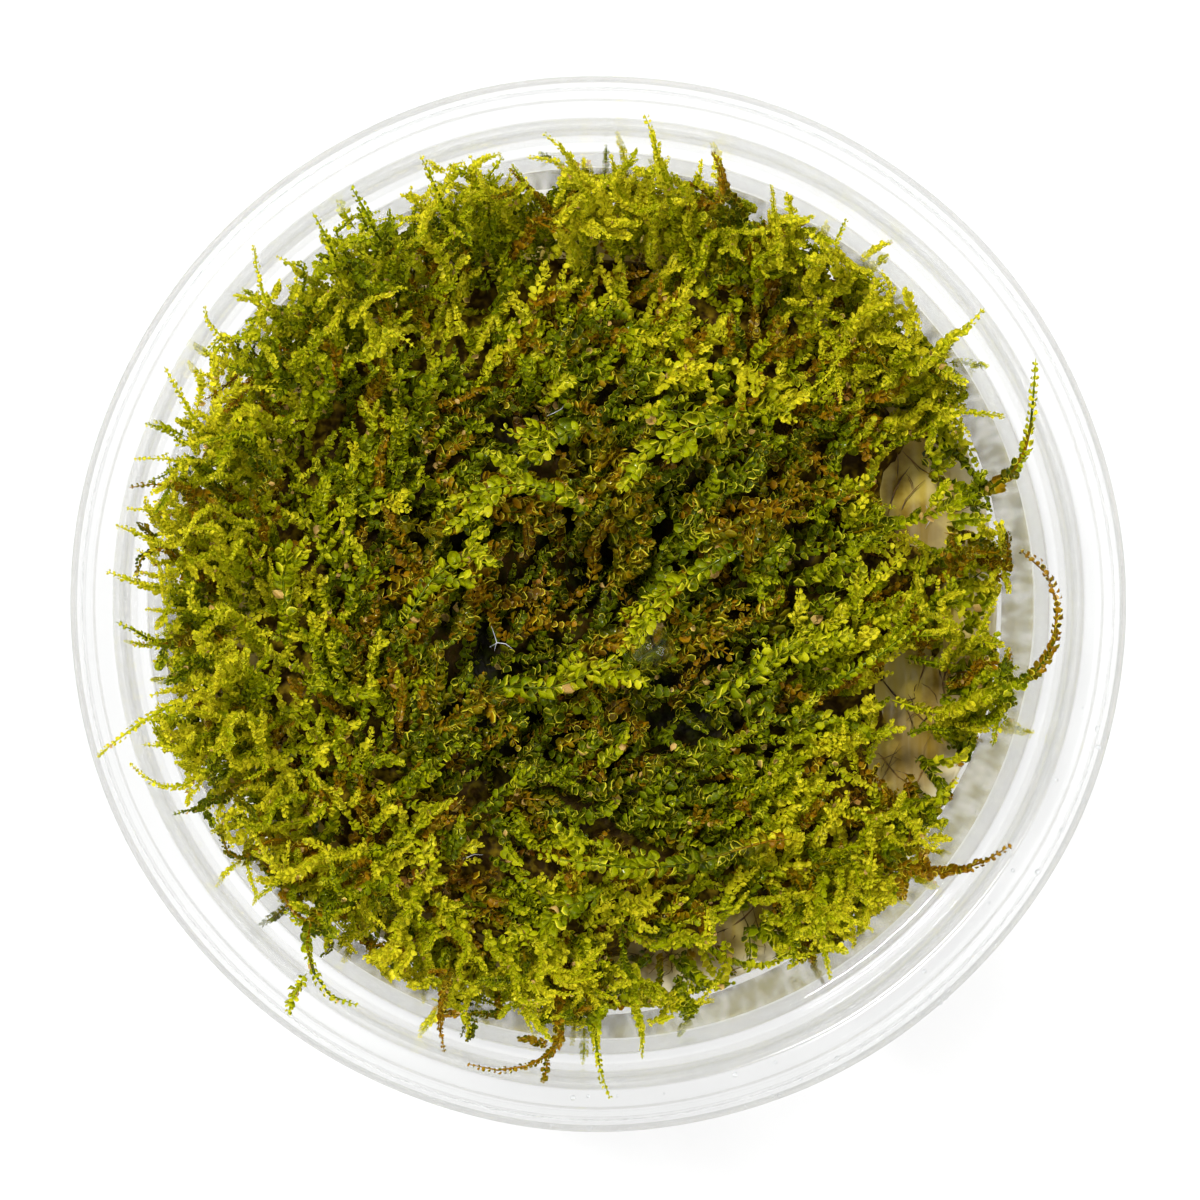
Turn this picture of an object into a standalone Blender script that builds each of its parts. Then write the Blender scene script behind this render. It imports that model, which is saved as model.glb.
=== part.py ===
"""Moss clump in a clear culture cup: the cup, its nutrient gel, the matted moss and single shoots.

Lengths are millimetres in the constants and metres in the meshes. +Z is up, and the origin is the
middle of the cup's flat underside.
"""

import math

import bmesh
import bpy
import numpy as np

MM = 0.001

# Cup
CUP_HEIGHT = 46.0
RIM_RADIUS = 40.0
SEAT_RADIUS = 35.9  # inside of the upright wall that a lid would seat on
SEAT_DEPTH = 7.8  # from the rim down to the shoulder
SHOULDER_RADIUS = 33.7  # inside of the tapered wall where it meets the shoulder
FLOOR_RADIUS = 31.2
WALL = 0.8
FLOOR = 1.0
SKIRT_DEPTH = 5.4
RIM_FALL = 0.4  # the rim's outer half lies this much lower than its inner half
RIM_STEP = 1.7  # width of that outer half
RIM_CORNER = 0.6
FOOT_ROUNDING = 1.2
SEAT_TAPER = 0.5  # the lid seat is this much narrower at the shoulder than at the rim
SEAT_ROUNDING = 0.9
SHOULDER_ROUNDING = 0.5
CUP_STEPS = 64

# Gel
GAP = 0.3  # left between pieces that touch
MARGIN = 0.1  # added to the gap where facets eat into it
GEL_TOP = 18.0
GEL_CORNER = 0.4

# Matted moss
MAT_BASE = GEL_TOP + GAP
MAT_THICKNESS = 12.0
MAT_RADIUS = 31.2
MAT_LEAN = (-0.22, 0.08)  # rise of the mat's top for each millimetre of x and y
HOLLOW_PLACE = (0.0, 2.0)
HOLLOW_DEPTH = 7.0
HOLLOW_WIDTH = 2.8
EDGE_INSET = 0.7
EDGE_WAVES = ((0.4, 3, 1.0), (0.3, 7, 0.0))  # height, waves in a turn and start of the outline's waves
BROAD_LUMPS = (0.7, 2.9, 2.6)  # height, and the reach of a wave along x and along y
SLANTED_LUMPS = (0.5, 3.7)  # height, and the reach of a wave along x = y
EDGE_SHARE = 0.45  # the mat's height at its outline, as a share of its height inside
EDGE_SHARPNESS = 10
MAT_RINGS = 13
MAT_SECTORS = 50

# Shoots
THICK = 0.95  # half widths over the leaves
USUAL = 0.8
THIN = 0.55
SHOOT_SIDES_RESOLUTION = 1  # gives six sides
POINT_SPACING = 1.7
STEPS_A_SPAN = 6
RISE = 0.65  # power of the rise: under one goes up steeply from the mat and leans out later
LIES = None  # in place of a tip height, for a shoot that lies on the mat
LYING_LIFT = (0.4, 1.2)  # lift of a lying shoot all along it, and the rest of the lift of its tip
SLACK = 1.25  # a shoot's length over its length in plan, when its points are counted
TAPER = ((0.0, 0.25, 0.75, 1.0), (0.8, 1.0, 1.0, 0.45))  # places along a shoot, and its widths there

# Each shoot is a route in plan from root to tip, the height of its tip, and its half width.
LEFT_SHOOTS = (
    (((-29.5, -9.2), (-32.9, -8.2), (-37.4, -11.5)), 49.6, USUAL),
    (((-30.3, -11.4), (-32.0, -11.0), (-34.3, -10.6)), 44.6, THIN),
    (((-29.6, -13.0), (-32.9, -13.9), (-35.0, -12.2)), 47.6, THIN),
    (((-28.4, -14.6), (-30.4, -15.5), (-32.0, -15.9)), 44.0, THIN),
    (((-29.2, -2.3), (-33.4, -2.9), (-36.1, -1.4)), 48.0, USUAL),
    (((-30.0, -0.7), (-32.2, -0.6), (-34.2, -0.5)), 46.4, THIN),
    (((-29.5, 1.3), (-33.9, 1.2), (-36.8, 2.4)), 48.6, USUAL),
    (((-30.1, 3.1), (-33.0, 3.2), (-34.9, 4.1)), 44.8, THIN),
    (((-29.4, 4.8), (-33.6, 4.8), (-36.2, 5.8)), 48.6, THIN),
    (((-30.0, 6.3), (-33.0, 6.9), (-35.4, 7.1)), 47.8, THIN),
    (((-29.6, 8.5), (-32.6, 8.9), (-35.2, 8.8)), 47.2, USUAL),
    (((-29.2, 10.4), (-32.2, 10.9), (-34.9, 10.8)), 47.4, THIN),
    (((-28.6, 12.0), (-31.0, 14.8), (-32.6, 17.8)), 47.8, USUAL),
    (((-25.4, 19.0), (-27.9, 17.2), (-30.0, 15.6)), 40.5, USUAL),
)
TOP_SHOOTS = (
    (((-26.6, 20.4), (-29.0, 20.2), (-29.5, 22.3)), 47.6, THIN),
    (((-24.0, 21.0), (-25.4, 23.8), (-25.9, 26.8)), 47.8, THIN),
    (((-19.9, 23.2), (-22.1, 24.9), (-24.3, 26.2)), 46.2, THIN),
    (((-18.6, 24.8), (-20.2, 27.2), (-21.5, 29.3)), 47.8, USUAL),
    (((-15.6, 26.4), (-17.0, 28.8), (-18.5, 31.0)), 47.8, THICK),
    (((-10.8, 28.2), (-12.0, 31.0), (-13.4, 33.6)), 47.8, USUAL),
    (((-7.4, 28.8), (-8.4, 31.5), (-9.8, 33.9)), 46.8, THIN),
    (((-2.8, 29.4), (-5.0, 31.6), (-6.8, 33.1)), 42.4, THIN),
    (((-0.4, 29.8), (-1.8, 33.4), (-4.1, 35.3)), 47.4, USUAL),
    (((2.0, 29.6), (1.5, 32.4), (0.9, 34.1)), 43.4, THIN),
    (((6.6, 28.8), (5.0, 32.8), (3.5, 36.7)), 48.4, USUAL),
    (((11.5, 28.2), (10.2, 31.2), (8.5, 34.1)), 45.2, USUAL),
    (((13.9, 27.4), (13.6, 29.8), (13.2, 31.9)), 42.0, THIN),
    (((20.6, 22.6), (18.4, 26.2), (15.9, 28.6)), 36.5, THICK),
)
RIGHT_SHOOTS = (
    (((23.2, 17.8), (26.4, 19.4), (29.1, 22.3)), 47.6, USUAL),
    (((25.4, 13.6), (28.2, 14.7), (30.8, 14.2)), 42.0, THIN),
    (((22.6, 6.2), (29.2, 8.2), (32.2, 11.4), (32.7, 14.4), (32.9, 18.4)), 48.2, USUAL),
    (((26.6, -8.8), (30.8, -7.2), (33.8, -4.5), (35.0, -0.6), (33.6, 2.6), (31.8, 4.2)), 44.6, THIN),
    (((28.0, -4.6), (30.0, -2.4), (31.0, 0.4)), 32.0, USUAL),
    (((18.6, -6.2), (23.0, -3.6), (26.6, -0.8)), LIES, THICK),
)
BOTTOM_SHOOTS = (
    (((23.0, -20.6), (27.0, -20.4), (31.1, -18.2)), 47.4, USUAL),
    (((17.6, -20.8), (17.2, -25.0), (17.8, -28.8)), 41.0, USUAL),
    (((2.2, -29.2), (3.2, -32.2), (3.4, -34.6)), 45.2, THIN),
    (((-0.8, -29.4), (-0.2, -33.6), (0.9, -37.3)), 48.0, USUAL),
    (((-2.9, -29.4), (-3.4, -33.6), (-6.4, -35.3), (-9.9, -34.6)), 47.4, THIN),
    (((-6.8, -29.4), (-5.7, -31.6), (-5.0, -32.8)), 40.5, THIN),
    (((-11.4, -28.6), (-12.0, -31.4), (-11.5, -34.0)), 47.3, THIN),
    (((-20.9, -21.9), (-21.8, -26.4), (-21.4, -28.6), (-18.2, -30.2)), 47.6, USUAL),
    (((-22.6, -20.0), (-24.6, -21.4), (-25.9, -22.4)), 42.4, THIN),
    (((-25.8, -16.4), (-27.8, -17.1), (-29.4, -17.4)), 43.0, THIN),
)
MIDDLE_SHOOTS = (
    (((15.0, -18.4), (5.0, -20.8), (-4.6, -19.8)), LIES, THICK),
    (((0.4, -22.9), (-3.2, -24.2), (-5.8, -27.2)), LIES, USUAL),
    (((-0.8, 7.6), (-6.4, 9.2), (-12.2, 7.5)), LIES, USUAL),
    (((11.0, 14.8), (6.6, 13.4), (1.9, 10.8)), LIES, THICK),
    (((11.4, 4.4), (6.2, 1.4), (1.6, -1.2)), LIES, USUAL),
    (((-8.2, -6.4), (-3.6, -6.6), (1.4, -4.4)), LIES, THICK),
    (((8.0, -8.2), (11.8, -6.2), (16.8, -1.8)), LIES, USUAL),
    (((-1.5, 13.6), (-4.4, 12.6), (-7.1, 13.4)), LIES, USUAL),
    (((-24.0, -0.6), (-24.4, 2.4), (-22.2, 4.8)), LIES, USUAL),
    (((-15.0, -1.9), (-12.6, 2.2), (-8.4, 4.4)), LIES, USUAL),
)


def material(name, colour, roughness, alpha=1.0):
    """A plain material with the piece's colour and roughness."""
    made = bpy.data.materials.new(name)
    made.use_nodes = True
    shader = made.node_tree.nodes["Principled BSDF"]
    shader.inputs["Base Color"].default_value = (*colour, 1.0)
    shader.inputs["Roughness"].default_value = roughness
    shader.inputs["Metallic"].default_value = 0.0
    shader.inputs["Alpha"].default_value = alpha
    return made


def place(name, data, finish):
    """A new object in the scene that wears one material."""
    made = bpy.data.objects.new(name, data)
    data.materials.append(finish)
    bpy.context.scene.collection.objects.link(made)
    return made


def turned(name, profile, finish):
    """A solid of revolution: an outline of (radius, height) points from axis to axis, swept by a Screw."""
    mesh = bpy.data.meshes.new(name)
    points = [(radius * MM, 0.0, height * MM) for radius, height in profile]
    mesh.from_pydata(points, [(i, i + 1) for i in range(len(points) - 1)], [])
    made = place(name, mesh, finish)
    screw = made.modifiers.new("Turn", "SCREW")
    screw.steps = CUP_STEPS
    screw.render_steps = CUP_STEPS
    screw.use_merge_vertices = True
    screw.merge_threshold = 0.00001
    screw.use_smooth_shade = True


def wall_radius(height):
    """Inner radius of the cup's tapered wall at a height above the underside."""
    share = (height - FLOOR) / (CUP_HEIGHT - SEAT_DEPTH - FLOOR)
    return FLOOR_RADIUS + share * (SHOULDER_RADIUS - FLOOR_RADIUS)


def make_cup():
    """The clear cup: a tapered bowl, a shoulder, an upright lid seat, and a rim with a skirt."""
    shoulder = CUP_HEIGHT - SEAT_DEPTH
    outer_top = CUP_HEIGHT - RIM_FALL
    skirt_foot = CUP_HEIGHT - SKIRT_DEPTH
    profile = (
        (0.0, FLOOR),
        (FLOOR_RADIUS - FOOT_ROUNDING, FLOOR),
        (FLOOR_RADIUS, FLOOR + FOOT_ROUNDING),
        (SHOULDER_RADIUS, shoulder - SHOULDER_ROUNDING),
        (SHOULDER_RADIUS + 0.8 * SHOULDER_ROUNDING, shoulder),
        (SEAT_RADIUS - SEAT_TAPER, shoulder + MARGIN),
        (SEAT_RADIUS, CUP_HEIGHT - SEAT_ROUNDING),
        (SEAT_RADIUS + SEAT_TAPER, CUP_HEIGHT),
        (RIM_RADIUS - RIM_STEP - RIM_FALL, CUP_HEIGHT),
        (RIM_RADIUS - RIM_STEP, outer_top),
        (RIM_RADIUS - RIM_CORNER, outer_top),
        (RIM_RADIUS, outer_top - RIM_CORNER),
        (RIM_RADIUS, skirt_foot),
        (RIM_RADIUS - WALL, skirt_foot),
        (RIM_RADIUS - WALL, outer_top - RIM_CORNER - WALL / 2),
        (SEAT_RADIUS + WALL, CUP_HEIGHT - 1.5 * WALL),
        (SEAT_RADIUS - SEAT_TAPER + WALL, shoulder - WALL),
        (SHOULDER_RADIUS + 1.25 * WALL, shoulder - WALL),
        (FLOOR_RADIUS + WALL, FLOOR + WALL / 2),
        (FLOOR_RADIUS - FOOT_ROUNDING / 2, 0.0),
        (0.0, 0.0),
    )
    turned("culture_cup", profile, material("Clear plastic", (0.93, 0.95, 0.95), 0.08, 0.3))


def make_gel():
    """The set gel in the bottom of the cup, clear of the wall by the usual gap."""
    low = FLOOR + GAP
    beside = GAP + MARGIN
    profile = (
        (0.0, GEL_TOP),
        (wall_radius(GEL_TOP) - beside - GEL_CORNER, GEL_TOP),
        (wall_radius(GEL_TOP) - beside, GEL_TOP - GEL_CORNER),
        (FLOOR_RADIUS - beside, low + FOOT_ROUNDING),
        (FLOOR_RADIUS - beside - FOOT_ROUNDING, low),
        (0.0, low),
    )
    turned("nutrient_gel", profile, material("Nutrient gel", (0.42, 0.36, 0.26), 0.2, 0.85))


def mat_edge(angle):
    """Radius of the mat's uneven outline in a direction, in millimetres."""
    waves = sum(height * np.sin(count * angle + start) for height, count, start in EDGE_WAVES)
    return MAT_RADIUS - EDGE_INSET + waves


def mat_top(x, y):
    """Height of the mat's lumpy top: a leaning slab, two waves of lumps, a hollow, and a rounded edge."""
    slab = MAT_THICKNESS + MAT_LEAN[0] * x + MAT_LEAN[1] * y
    broad, along_x, along_y = BROAD_LUMPS
    slanted, along_both = SLANTED_LUMPS
    lumps = broad * np.sin(x / along_x + 1.0) * np.cos(y / along_y)
    lumps = lumps + slanted * np.sin((x + y) / along_both + 2.0)
    away = (x - HOLLOW_PLACE[0]) ** 2 + (y - HOLLOW_PLACE[1]) ** 2
    hollow = HOLLOW_DEPTH * np.exp(-away / (2 * HOLLOW_WIDTH**2))
    out = np.clip(np.hypot(x, y) / mat_edge(np.arctan2(y, x)), 0.0, 1.0)
    rounding = EDGE_SHARE + (1.0 - EDGE_SHARE) * np.sqrt(1.0 - out**EDGE_SHARPNESS)
    return MAT_BASE + (slab + lumps - hollow) * rounding


def make_mat():
    """The matted moss as one closed lumpy slab: rings of points on its top, and a flat underside."""
    shares = np.linspace(0.0, 1.0, MAT_RINGS + 1)[1:]
    angles = np.linspace(0.0, 2 * math.pi, MAT_SECTORS, endpoint=False)
    reach = shares[:, None] * mat_edge(angles)[None, :]
    x = (reach * np.cos(angles)).ravel()
    y = (reach * np.sin(angles)).ravel()
    top = np.stack([x, y, mat_top(x, y)], axis=1)
    middle = (0.0, 0.0, float(mat_top(0.0, 0.0)))
    foot = np.stack([x[-MAT_SECTORS:], y[-MAT_SECTORS:], np.full(MAT_SECTORS, MAT_BASE)], axis=1)

    shape = bmesh.new()
    points = [shape.verts.new([c * MM for c in p]) for p in np.vstack([top, foot])]
    peak = shape.verts.new([c * MM for c in middle])
    rings = [points[i : i + MAT_SECTORS] for i in range(0, len(points), MAT_SECTORS)]
    for i in range(MAT_SECTORS):
        j = (i + 1) % MAT_SECTORS
        shape.faces.new((peak, rings[0][i], rings[0][j]))
        for inner, outer in zip(rings, rings[1:]):
            shape.faces.new((inner[i], outer[i], outer[j], inner[j]))
    shape.faces.new(rings[-1][::-1])
    bmesh.ops.recalc_face_normals(shape, faces=shape.faces)
    mesh = bpy.data.meshes.new("moss_mat")
    shape.to_mesh(mesh)
    shape.free()
    mesh.shade_smooth()
    place("moss_mat", mesh, material("Matted moss", (0.10, 0.11, 0.02), 0.6))


def lowest_clear(x, y, half_width):
    """Lowest height at which a shoot this wide clears the mat and gel below it and the cup beside it."""
    clear = half_width + GAP + MARGIN
    out = np.hypot(x, y) + clear
    shoulder = CUP_HEIGHT - SEAT_DEPTH
    reach = (
        wall_radius(GEL_TOP),
        SHOULDER_RADIUS,
        SHOULDER_RADIUS + GAP,
        SEAT_RADIUS - SEAT_TAPER,
        SEAT_RADIUS,
        SEAT_RADIUS + GAP + MARGIN,
    )
    seat_foot = shoulder + clear
    heights = (0.0, shoulder, seat_foot, seat_foot, CUP_HEIGHT, CUP_HEIGHT + clear)
    beside_cup = np.interp(out, reach, heights)
    around = [(0.0, 0.0), (half_width, 0.0), (-half_width, 0.0), (0.0, half_width), (0.0, -half_width)]
    over_mat = np.max([mat_top(x + dx, y + dy) for dx, dy in around], axis=0) + clear
    return np.maximum(beside_cup, over_mat)


def smooth_route(points, count):
    """Evenly spread points on a smooth curve through a few: cubic Hermite spans with chord tangents."""
    points = np.asarray(points, float)
    along = np.concatenate([[0.0], np.cumsum(np.linalg.norm(np.diff(points, axis=0), axis=1))])
    tangents = np.gradient(points, along, axis=0)
    places = np.linspace(0.0, along[-1], count)
    span = np.clip(np.searchsorted(along, places, side="right") - 1, 0, len(points) - 2)
    step = (along[span + 1] - along[span])[:, None]
    t = (places[:, None] - along[span][:, None]) / step
    return (
        (2 * t**3 - 3 * t**2 + 1) * points[span]
        + (t**3 - 2 * t**2 + t) * step * tangents[span]
        + (3 * t**2 - 2 * t**3) * points[span + 1]
        + (t**3 - t**2) * step * tangents[span + 1]
    )


def shoot_route(plan, tip_height, half_width):
    """The shoot's middle line in millimetres: it rises from the mat to its tip, or follows the mat's top.

    Each span between two of its points clears what is under every one of the span's own finer steps.
    """
    length = float(np.linalg.norm(np.diff(np.asarray(plan), axis=0), axis=1).sum())
    spans = max(4, round(SLACK * length / POINT_SPACING))
    fine = smooth_route(plan, spans * STEPS_A_SPAN + 1)
    under = lowest_clear(fine[:, 0], fine[:, 1], half_width)
    steps = np.arange(spans)[:, None] * STEPS_A_SPAN + np.arange(STEPS_A_SPAN + 1)
    highest = np.pad(under[steps].max(axis=1), 1, mode="edge")
    lowest = np.maximum(highest[:-1], highest[1:])
    x, y = fine[::STEPS_A_SPAN].T
    along = np.linspace(0.0, 1.0, spans + 1)
    if tip_height is LIES:
        height = lowest + LYING_LIFT[0] + LYING_LIFT[1] * along**3
    else:
        height = lowest[0] + (tip_height - lowest[0]) * along**RISE
    return np.stack([x, y, np.maximum(height, lowest)], axis=1)


def make_shoot(name, plan, tip_height, half_width, finish):
    """One leafy shoot as a tube that reaches its leaf tips, narrower at its root and its tip."""
    route = shoot_route(plan, tip_height, half_width)
    curve = bpy.data.curves.new(name, "CURVE")
    curve.dimensions = "3D"
    curve.bevel_depth = half_width * MM
    curve.bevel_resolution = SHOOT_SIDES_RESOLUTION
    curve.use_fill_caps = True
    spline = curve.splines.new("POLY")
    spline.points.add(len(route) - 1)
    shares = np.linspace(0.0, 1.0, len(route))
    widths = np.interp(shares, *TAPER)
    for point, where, width in zip(spline.points, route * MM, widths):
        point.co = (*where, 1.0)
        point.radius = float(width)
    place(name, curve, finish)


def main():
    for old in list(bpy.data.objects):
        bpy.data.objects.remove(old)
    make_cup()
    make_gel()
    make_mat()
    leafy = material("Moss shoot", (0.27, 0.33, 0.03), 0.45)
    groups = {
        "left": LEFT_SHOOTS,
        "top": TOP_SHOOTS,
        "right": RIGHT_SHOOTS,
        "bottom": BOTTOM_SHOOTS,
        "middle": MIDDLE_SHOOTS,
    }
    for side, shoots in groups.items():
        for number, (plan, tip_height, half_width) in enumerate(shoots, 1):
            make_shoot(f"{side}_shoot_{number:02d}", plan, tip_height, half_width, leafy)


main()
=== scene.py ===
"""Moss clump in a clear culture cup, as it looks: leafy shoots, gel, clear plastic and beads of water.

Lengths are millimetres in the fields and tables, and metres in the meshes. The moss is shoots: each is
a stem along a route, and leaves that are shallow bowls set along it in rows.
"""

import logging
import math
from dataclasses import dataclass, field
from enum import Enum
from functools import cache

import bpy
import numpy as np
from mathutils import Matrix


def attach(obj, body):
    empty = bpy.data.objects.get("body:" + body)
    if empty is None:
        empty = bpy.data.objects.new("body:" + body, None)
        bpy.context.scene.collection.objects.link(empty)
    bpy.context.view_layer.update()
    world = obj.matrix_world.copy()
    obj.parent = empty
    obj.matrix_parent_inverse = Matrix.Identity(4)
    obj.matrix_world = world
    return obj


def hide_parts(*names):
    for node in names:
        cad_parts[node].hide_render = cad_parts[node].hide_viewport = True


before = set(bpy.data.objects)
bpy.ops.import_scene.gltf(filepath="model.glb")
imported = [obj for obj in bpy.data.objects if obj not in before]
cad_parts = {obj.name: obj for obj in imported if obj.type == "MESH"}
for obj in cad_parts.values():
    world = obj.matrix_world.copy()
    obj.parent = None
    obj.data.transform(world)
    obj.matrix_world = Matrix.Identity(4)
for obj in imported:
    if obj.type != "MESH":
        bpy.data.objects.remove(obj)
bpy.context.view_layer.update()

MM = 0.001
BODY = "root"
UV_NAME = "OFBake"

Array = np.ndarray
Colour = tuple[float, float, float]
Socket = bpy.types.NodeSocket

log = logging.getLogger("moss clump")


# --------------------------------------------------------------------------- meshes


def unit(vectors: Array) -> Array:
    """Vectors scaled to length one along their last axis."""
    return vectors / np.maximum(np.linalg.norm(vectors, axis=-1, keepdims=True), 1e-12)


def dot(a: Array, b: Array) -> Array:
    """Dot product along the last axis, which is kept."""
    return (a * b).sum(axis=-1, keepdims=True)


def spread(start: float, stop: float, shares: Array) -> Array:
    """Numbers from start to stop at shares from 0 to 1."""
    return start + (stop - start) * shares


def grid_faces(rows: int, columns: int) -> Array:
    """Triangles of a grid whose columns close on themselves, outward where rows run up and columns turn left.

    Args:
        rows: Rings of points, one after the other.
        columns: Points in a ring.

    Returns:
        Vertex numbers, three a triangle.
    """
    ring = np.arange(columns)
    after = (ring + 1) % columns
    low = (np.arange(rows - 1) * columns)[:, None]
    a, b, c, d = low + ring, low + after, low + columns + after, low + columns + ring
    return np.concatenate([np.stack([a, b, c], -1), np.stack([a, c, d], -1)]).reshape(-1, 3)


def fan_faces(centre: int, start: int, columns: int, flip: bool = False) -> Array:
    """Triangles that close a ring of points with a vertex in its middle."""
    ring = np.arange(columns)
    after = (ring + 1) % columns
    first, last = (after, ring) if flip else (ring, after)
    return np.stack([np.full(columns, centre), start + first, start + last], -1)


def make_piece(name: str, points: Array, faces: Array, finish: bpy.types.Material,
               uvs: Array | None = None, stands_for: tuple[str, ...] = ()) -> bpy.types.Object:
    """Puts a triangle mesh into the scene as a finished piece that rides on the part's one body.

    Args:
        name: The piece's name.
        points: Vertices in millimetres, one row each.
        faces: Vertex numbers, three a triangle.
        finish: The material.
        uvs: One place on the finish's own map for each vertex, or None for a piece without a map.
        stands_for: CAD nodes that the piece replaces.

    Returns:
        The object.
    """
    mesh = bpy.data.meshes.new(name)
    mesh.vertices.add(len(points))
    mesh.vertices.foreach_set("co", (points * MM).astype(np.float32).ravel())
    mesh.loops.add(faces.size)
    mesh.loops.foreach_set("vertex_index", faces.astype(np.int32).ravel())
    mesh.polygons.add(len(faces))
    mesh.polygons.foreach_set("loop_start", np.arange(0, faces.size, 3, dtype=np.int32))
    if uvs is not None:
        layer = mesh.uv_layers.new(name=UV_NAME)
        layer.data.foreach_set("uv", uvs[faces.ravel()].astype(np.float32).ravel())
    mesh.update(calc_edges=True)
    mesh.polygons.foreach_set("use_smooth", np.ones(len(faces), bool))
    mesh.materials.append(finish)
    made = bpy.data.objects.new(name, mesh)
    bpy.context.scene.collection.objects.link(made)
    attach(made, BODY)
    if stands_for:
        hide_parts(*stands_for)
    log.info("%s: %d triangles", name, len(faces))
    return made


def rounded(profile: Array, radius: float, steps: int = 3) -> Array:
    """An outline with its corners rounded: each corner becomes a short quadratic Bezier between its sides.

    Args:
        profile: Points of radius and height, from axis to axis.
        radius: How far along its two sides a corner's curve starts.
        steps: Points in each curve.

    Returns:
        The finer outline.
    """
    corner = profile[1:-1]
    before, after = profile[:-2] - corner, profile[2:] - corner
    reach = [np.minimum(radius, 0.4 * np.linalg.norm(side, axis=1))[:, None] for side in (before, after)]
    start, end = corner + unit(before) * reach[0], corner + unit(after) * reach[1]
    t = np.linspace(0.0, 1.0, steps)[None, :, None]
    curve = (1 - t) ** 2 * start[:, None] + 2 * t * (1 - t) * corner[:, None] + t**2 * end[:, None]
    return np.vstack([profile[:1], curve.reshape(-1, 2), profile[-1:]])


def revolve(profile: Array, steps: int) -> tuple[Array, Array]:
    """A closed solid of revolution: the outline's points carried round the vertical axis.

    Args:
        profile: Points of radius and height, from the axis over the top and back to the axis below.
        steps: Places in a turn.

    Returns:
        Vertices, with the two poles last, and triangles.
    """
    angle = np.arange(steps) * 2 * math.pi / steps
    radius, height = profile[1:-1, 0][:, None], profile[1:-1, 1][:, None]
    ring = np.stack([radius * np.cos(angle), radius * np.sin(angle), height + 0 * angle], -1).reshape(-1, 3)
    poles = np.array([[0.0, 0.0, profile[0, 1]], [0.0, 0.0, profile[-1, 1]]])
    rows = len(profile) - 2
    faces = [
        grid_faces(rows, steps)[:, ::-1],
        fan_faces(rows * steps, 0, steps),
        fan_faces(rows * steps + 1, (rows - 1) * steps, steps, flip=True),
    ]
    return np.vstack([ring, poles]), np.vstack(faces)


# --------------------------------------------------------------------------- finishes


class Graph:
    """A node tree, built by short calls: a material's own, or a group's."""

    def __init__(self, name: str, group: bool = False) -> None:
        """Starts an empty material with that name, or an empty node group."""
        if group:
            self.tree = bpy.data.node_groups.new(name, "ShaderNodeTree")
            return
        self.material = bpy.data.materials.new(name)
        self.material.use_nodes = True
        self.tree = self.material.node_tree
        self.tree.nodes.clear()

    def add(self, kind: str, inputs: dict | None = None, **settings: object) -> bpy.types.Node:
        """Adds a node.

        Args:
            kind: The node's type without the ShaderNode prefix.
            inputs: Values or sockets for its inputs, by name or number.
            settings: The node's own properties.

        Returns:
            The node.
        """
        made = self.tree.nodes.new("ShaderNode" + kind)
        for key, value in settings.items():
            setattr(made, key, value)
        for key, value in (inputs or {}).items():
            if isinstance(value, Socket):
                self.tree.links.new(value, made.inputs[key])
            else:
                made.inputs[key].default_value = value
        return made

    def math(self, operation: str, *values: float | Socket, clamp: bool = False) -> Socket:
        """A Math node's result."""
        return self.add("Math", dict(enumerate(values)), operation=operation, use_clamp=clamp).outputs[0]

    def mix(self, share: float | Socket, a: Socket | tuple, b: Socket | tuple, blend: str = "MIX") -> Socket:
        """One colour mixed into another."""
        inputs = {0: share, 6: a, 7: b}
        return self.add("Mix", inputs, data_type="RGBA", blend_type=blend).outputs[2]

    def band(self, value: Socket, low: float | Socket, high: float | Socket, to_low: float = 0.0, to_high: float = 1.0) -> Socket:
        """A value mapped smoothly from one span to another."""
        inputs = {"Value": value, "From Min": low, "From Max": high, "To Min": to_low, "To Max": to_high}
        return self.add("MapRange", inputs, interpolation_type="SMOOTHSTEP").outputs[0]

    def ramp(self, value: Socket, stops: tuple[tuple[float, Colour], ...]) -> Socket:
        """Colours read off a ramp."""
        made = self.add("ValToRGB", {"Fac": value})
        elements = made.color_ramp.elements
        for place, _ in stops[2:]:
            elements.new(place)
        for element, (place, colour) in zip(elements, stops):
            element.position = place
            element.color = (*colour, 1.0)
        return made.outputs["Color"]

    def mottle(self, where: Socket, scale: float, detail: float = 3.0, low: float = 0.35,
               high: float = 0.7) -> tuple[Socket, Socket]:
        """Places the shared mottling group with its own values.

        Args:
            where: The coordinates that it follows.
            scale: Patches in a unit of those coordinates.
            detail: Finer and finer layers.
            low: The height at which a patch's share starts to rise from 0.
            high: The height at which the share reaches 1.

        Returns:
            The height from 0 to 1, and the share.
        """
        made = self.add("Group", node_tree=mottling())
        self.tree.links.new(where, made.inputs["Where"])
        for name, value in (("Scale", scale), ("Detail", detail), ("Low", low), ("High", high)):
            made.inputs[name].default_value = value
        return made.outputs["Height"], made.outputs["Share"]

    def bump(self, height: Socket, distance: float, strength: float = 1.0) -> Socket:
        """A normal from a height."""
        return self.add("Bump", {"Height": height, "Distance": distance, "Strength": strength}).outputs[0]

    def place(self) -> Socket:
        """Object coordinates, in metres."""
        return self.add("TexCoord").outputs["Object"]

    def out_from_axis(self, place: Socket) -> Socket:
        """Distance from the vertical axis."""
        level = self.add("VectorMath", {0: place, 1: (1.0, 1.0, 0.0)}, operation="MULTIPLY").outputs[0]
        return self.add("VectorMath", {0: level}, operation="LENGTH").outputs["Value"]

    def finish(self, shader: Socket) -> bpy.types.Material:
        """Sends a shader to the output and gives the material."""
        out = self.add("OutputMaterial")
        self.tree.links.new(shader, out.inputs["Surface"])
        return self.material


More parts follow.
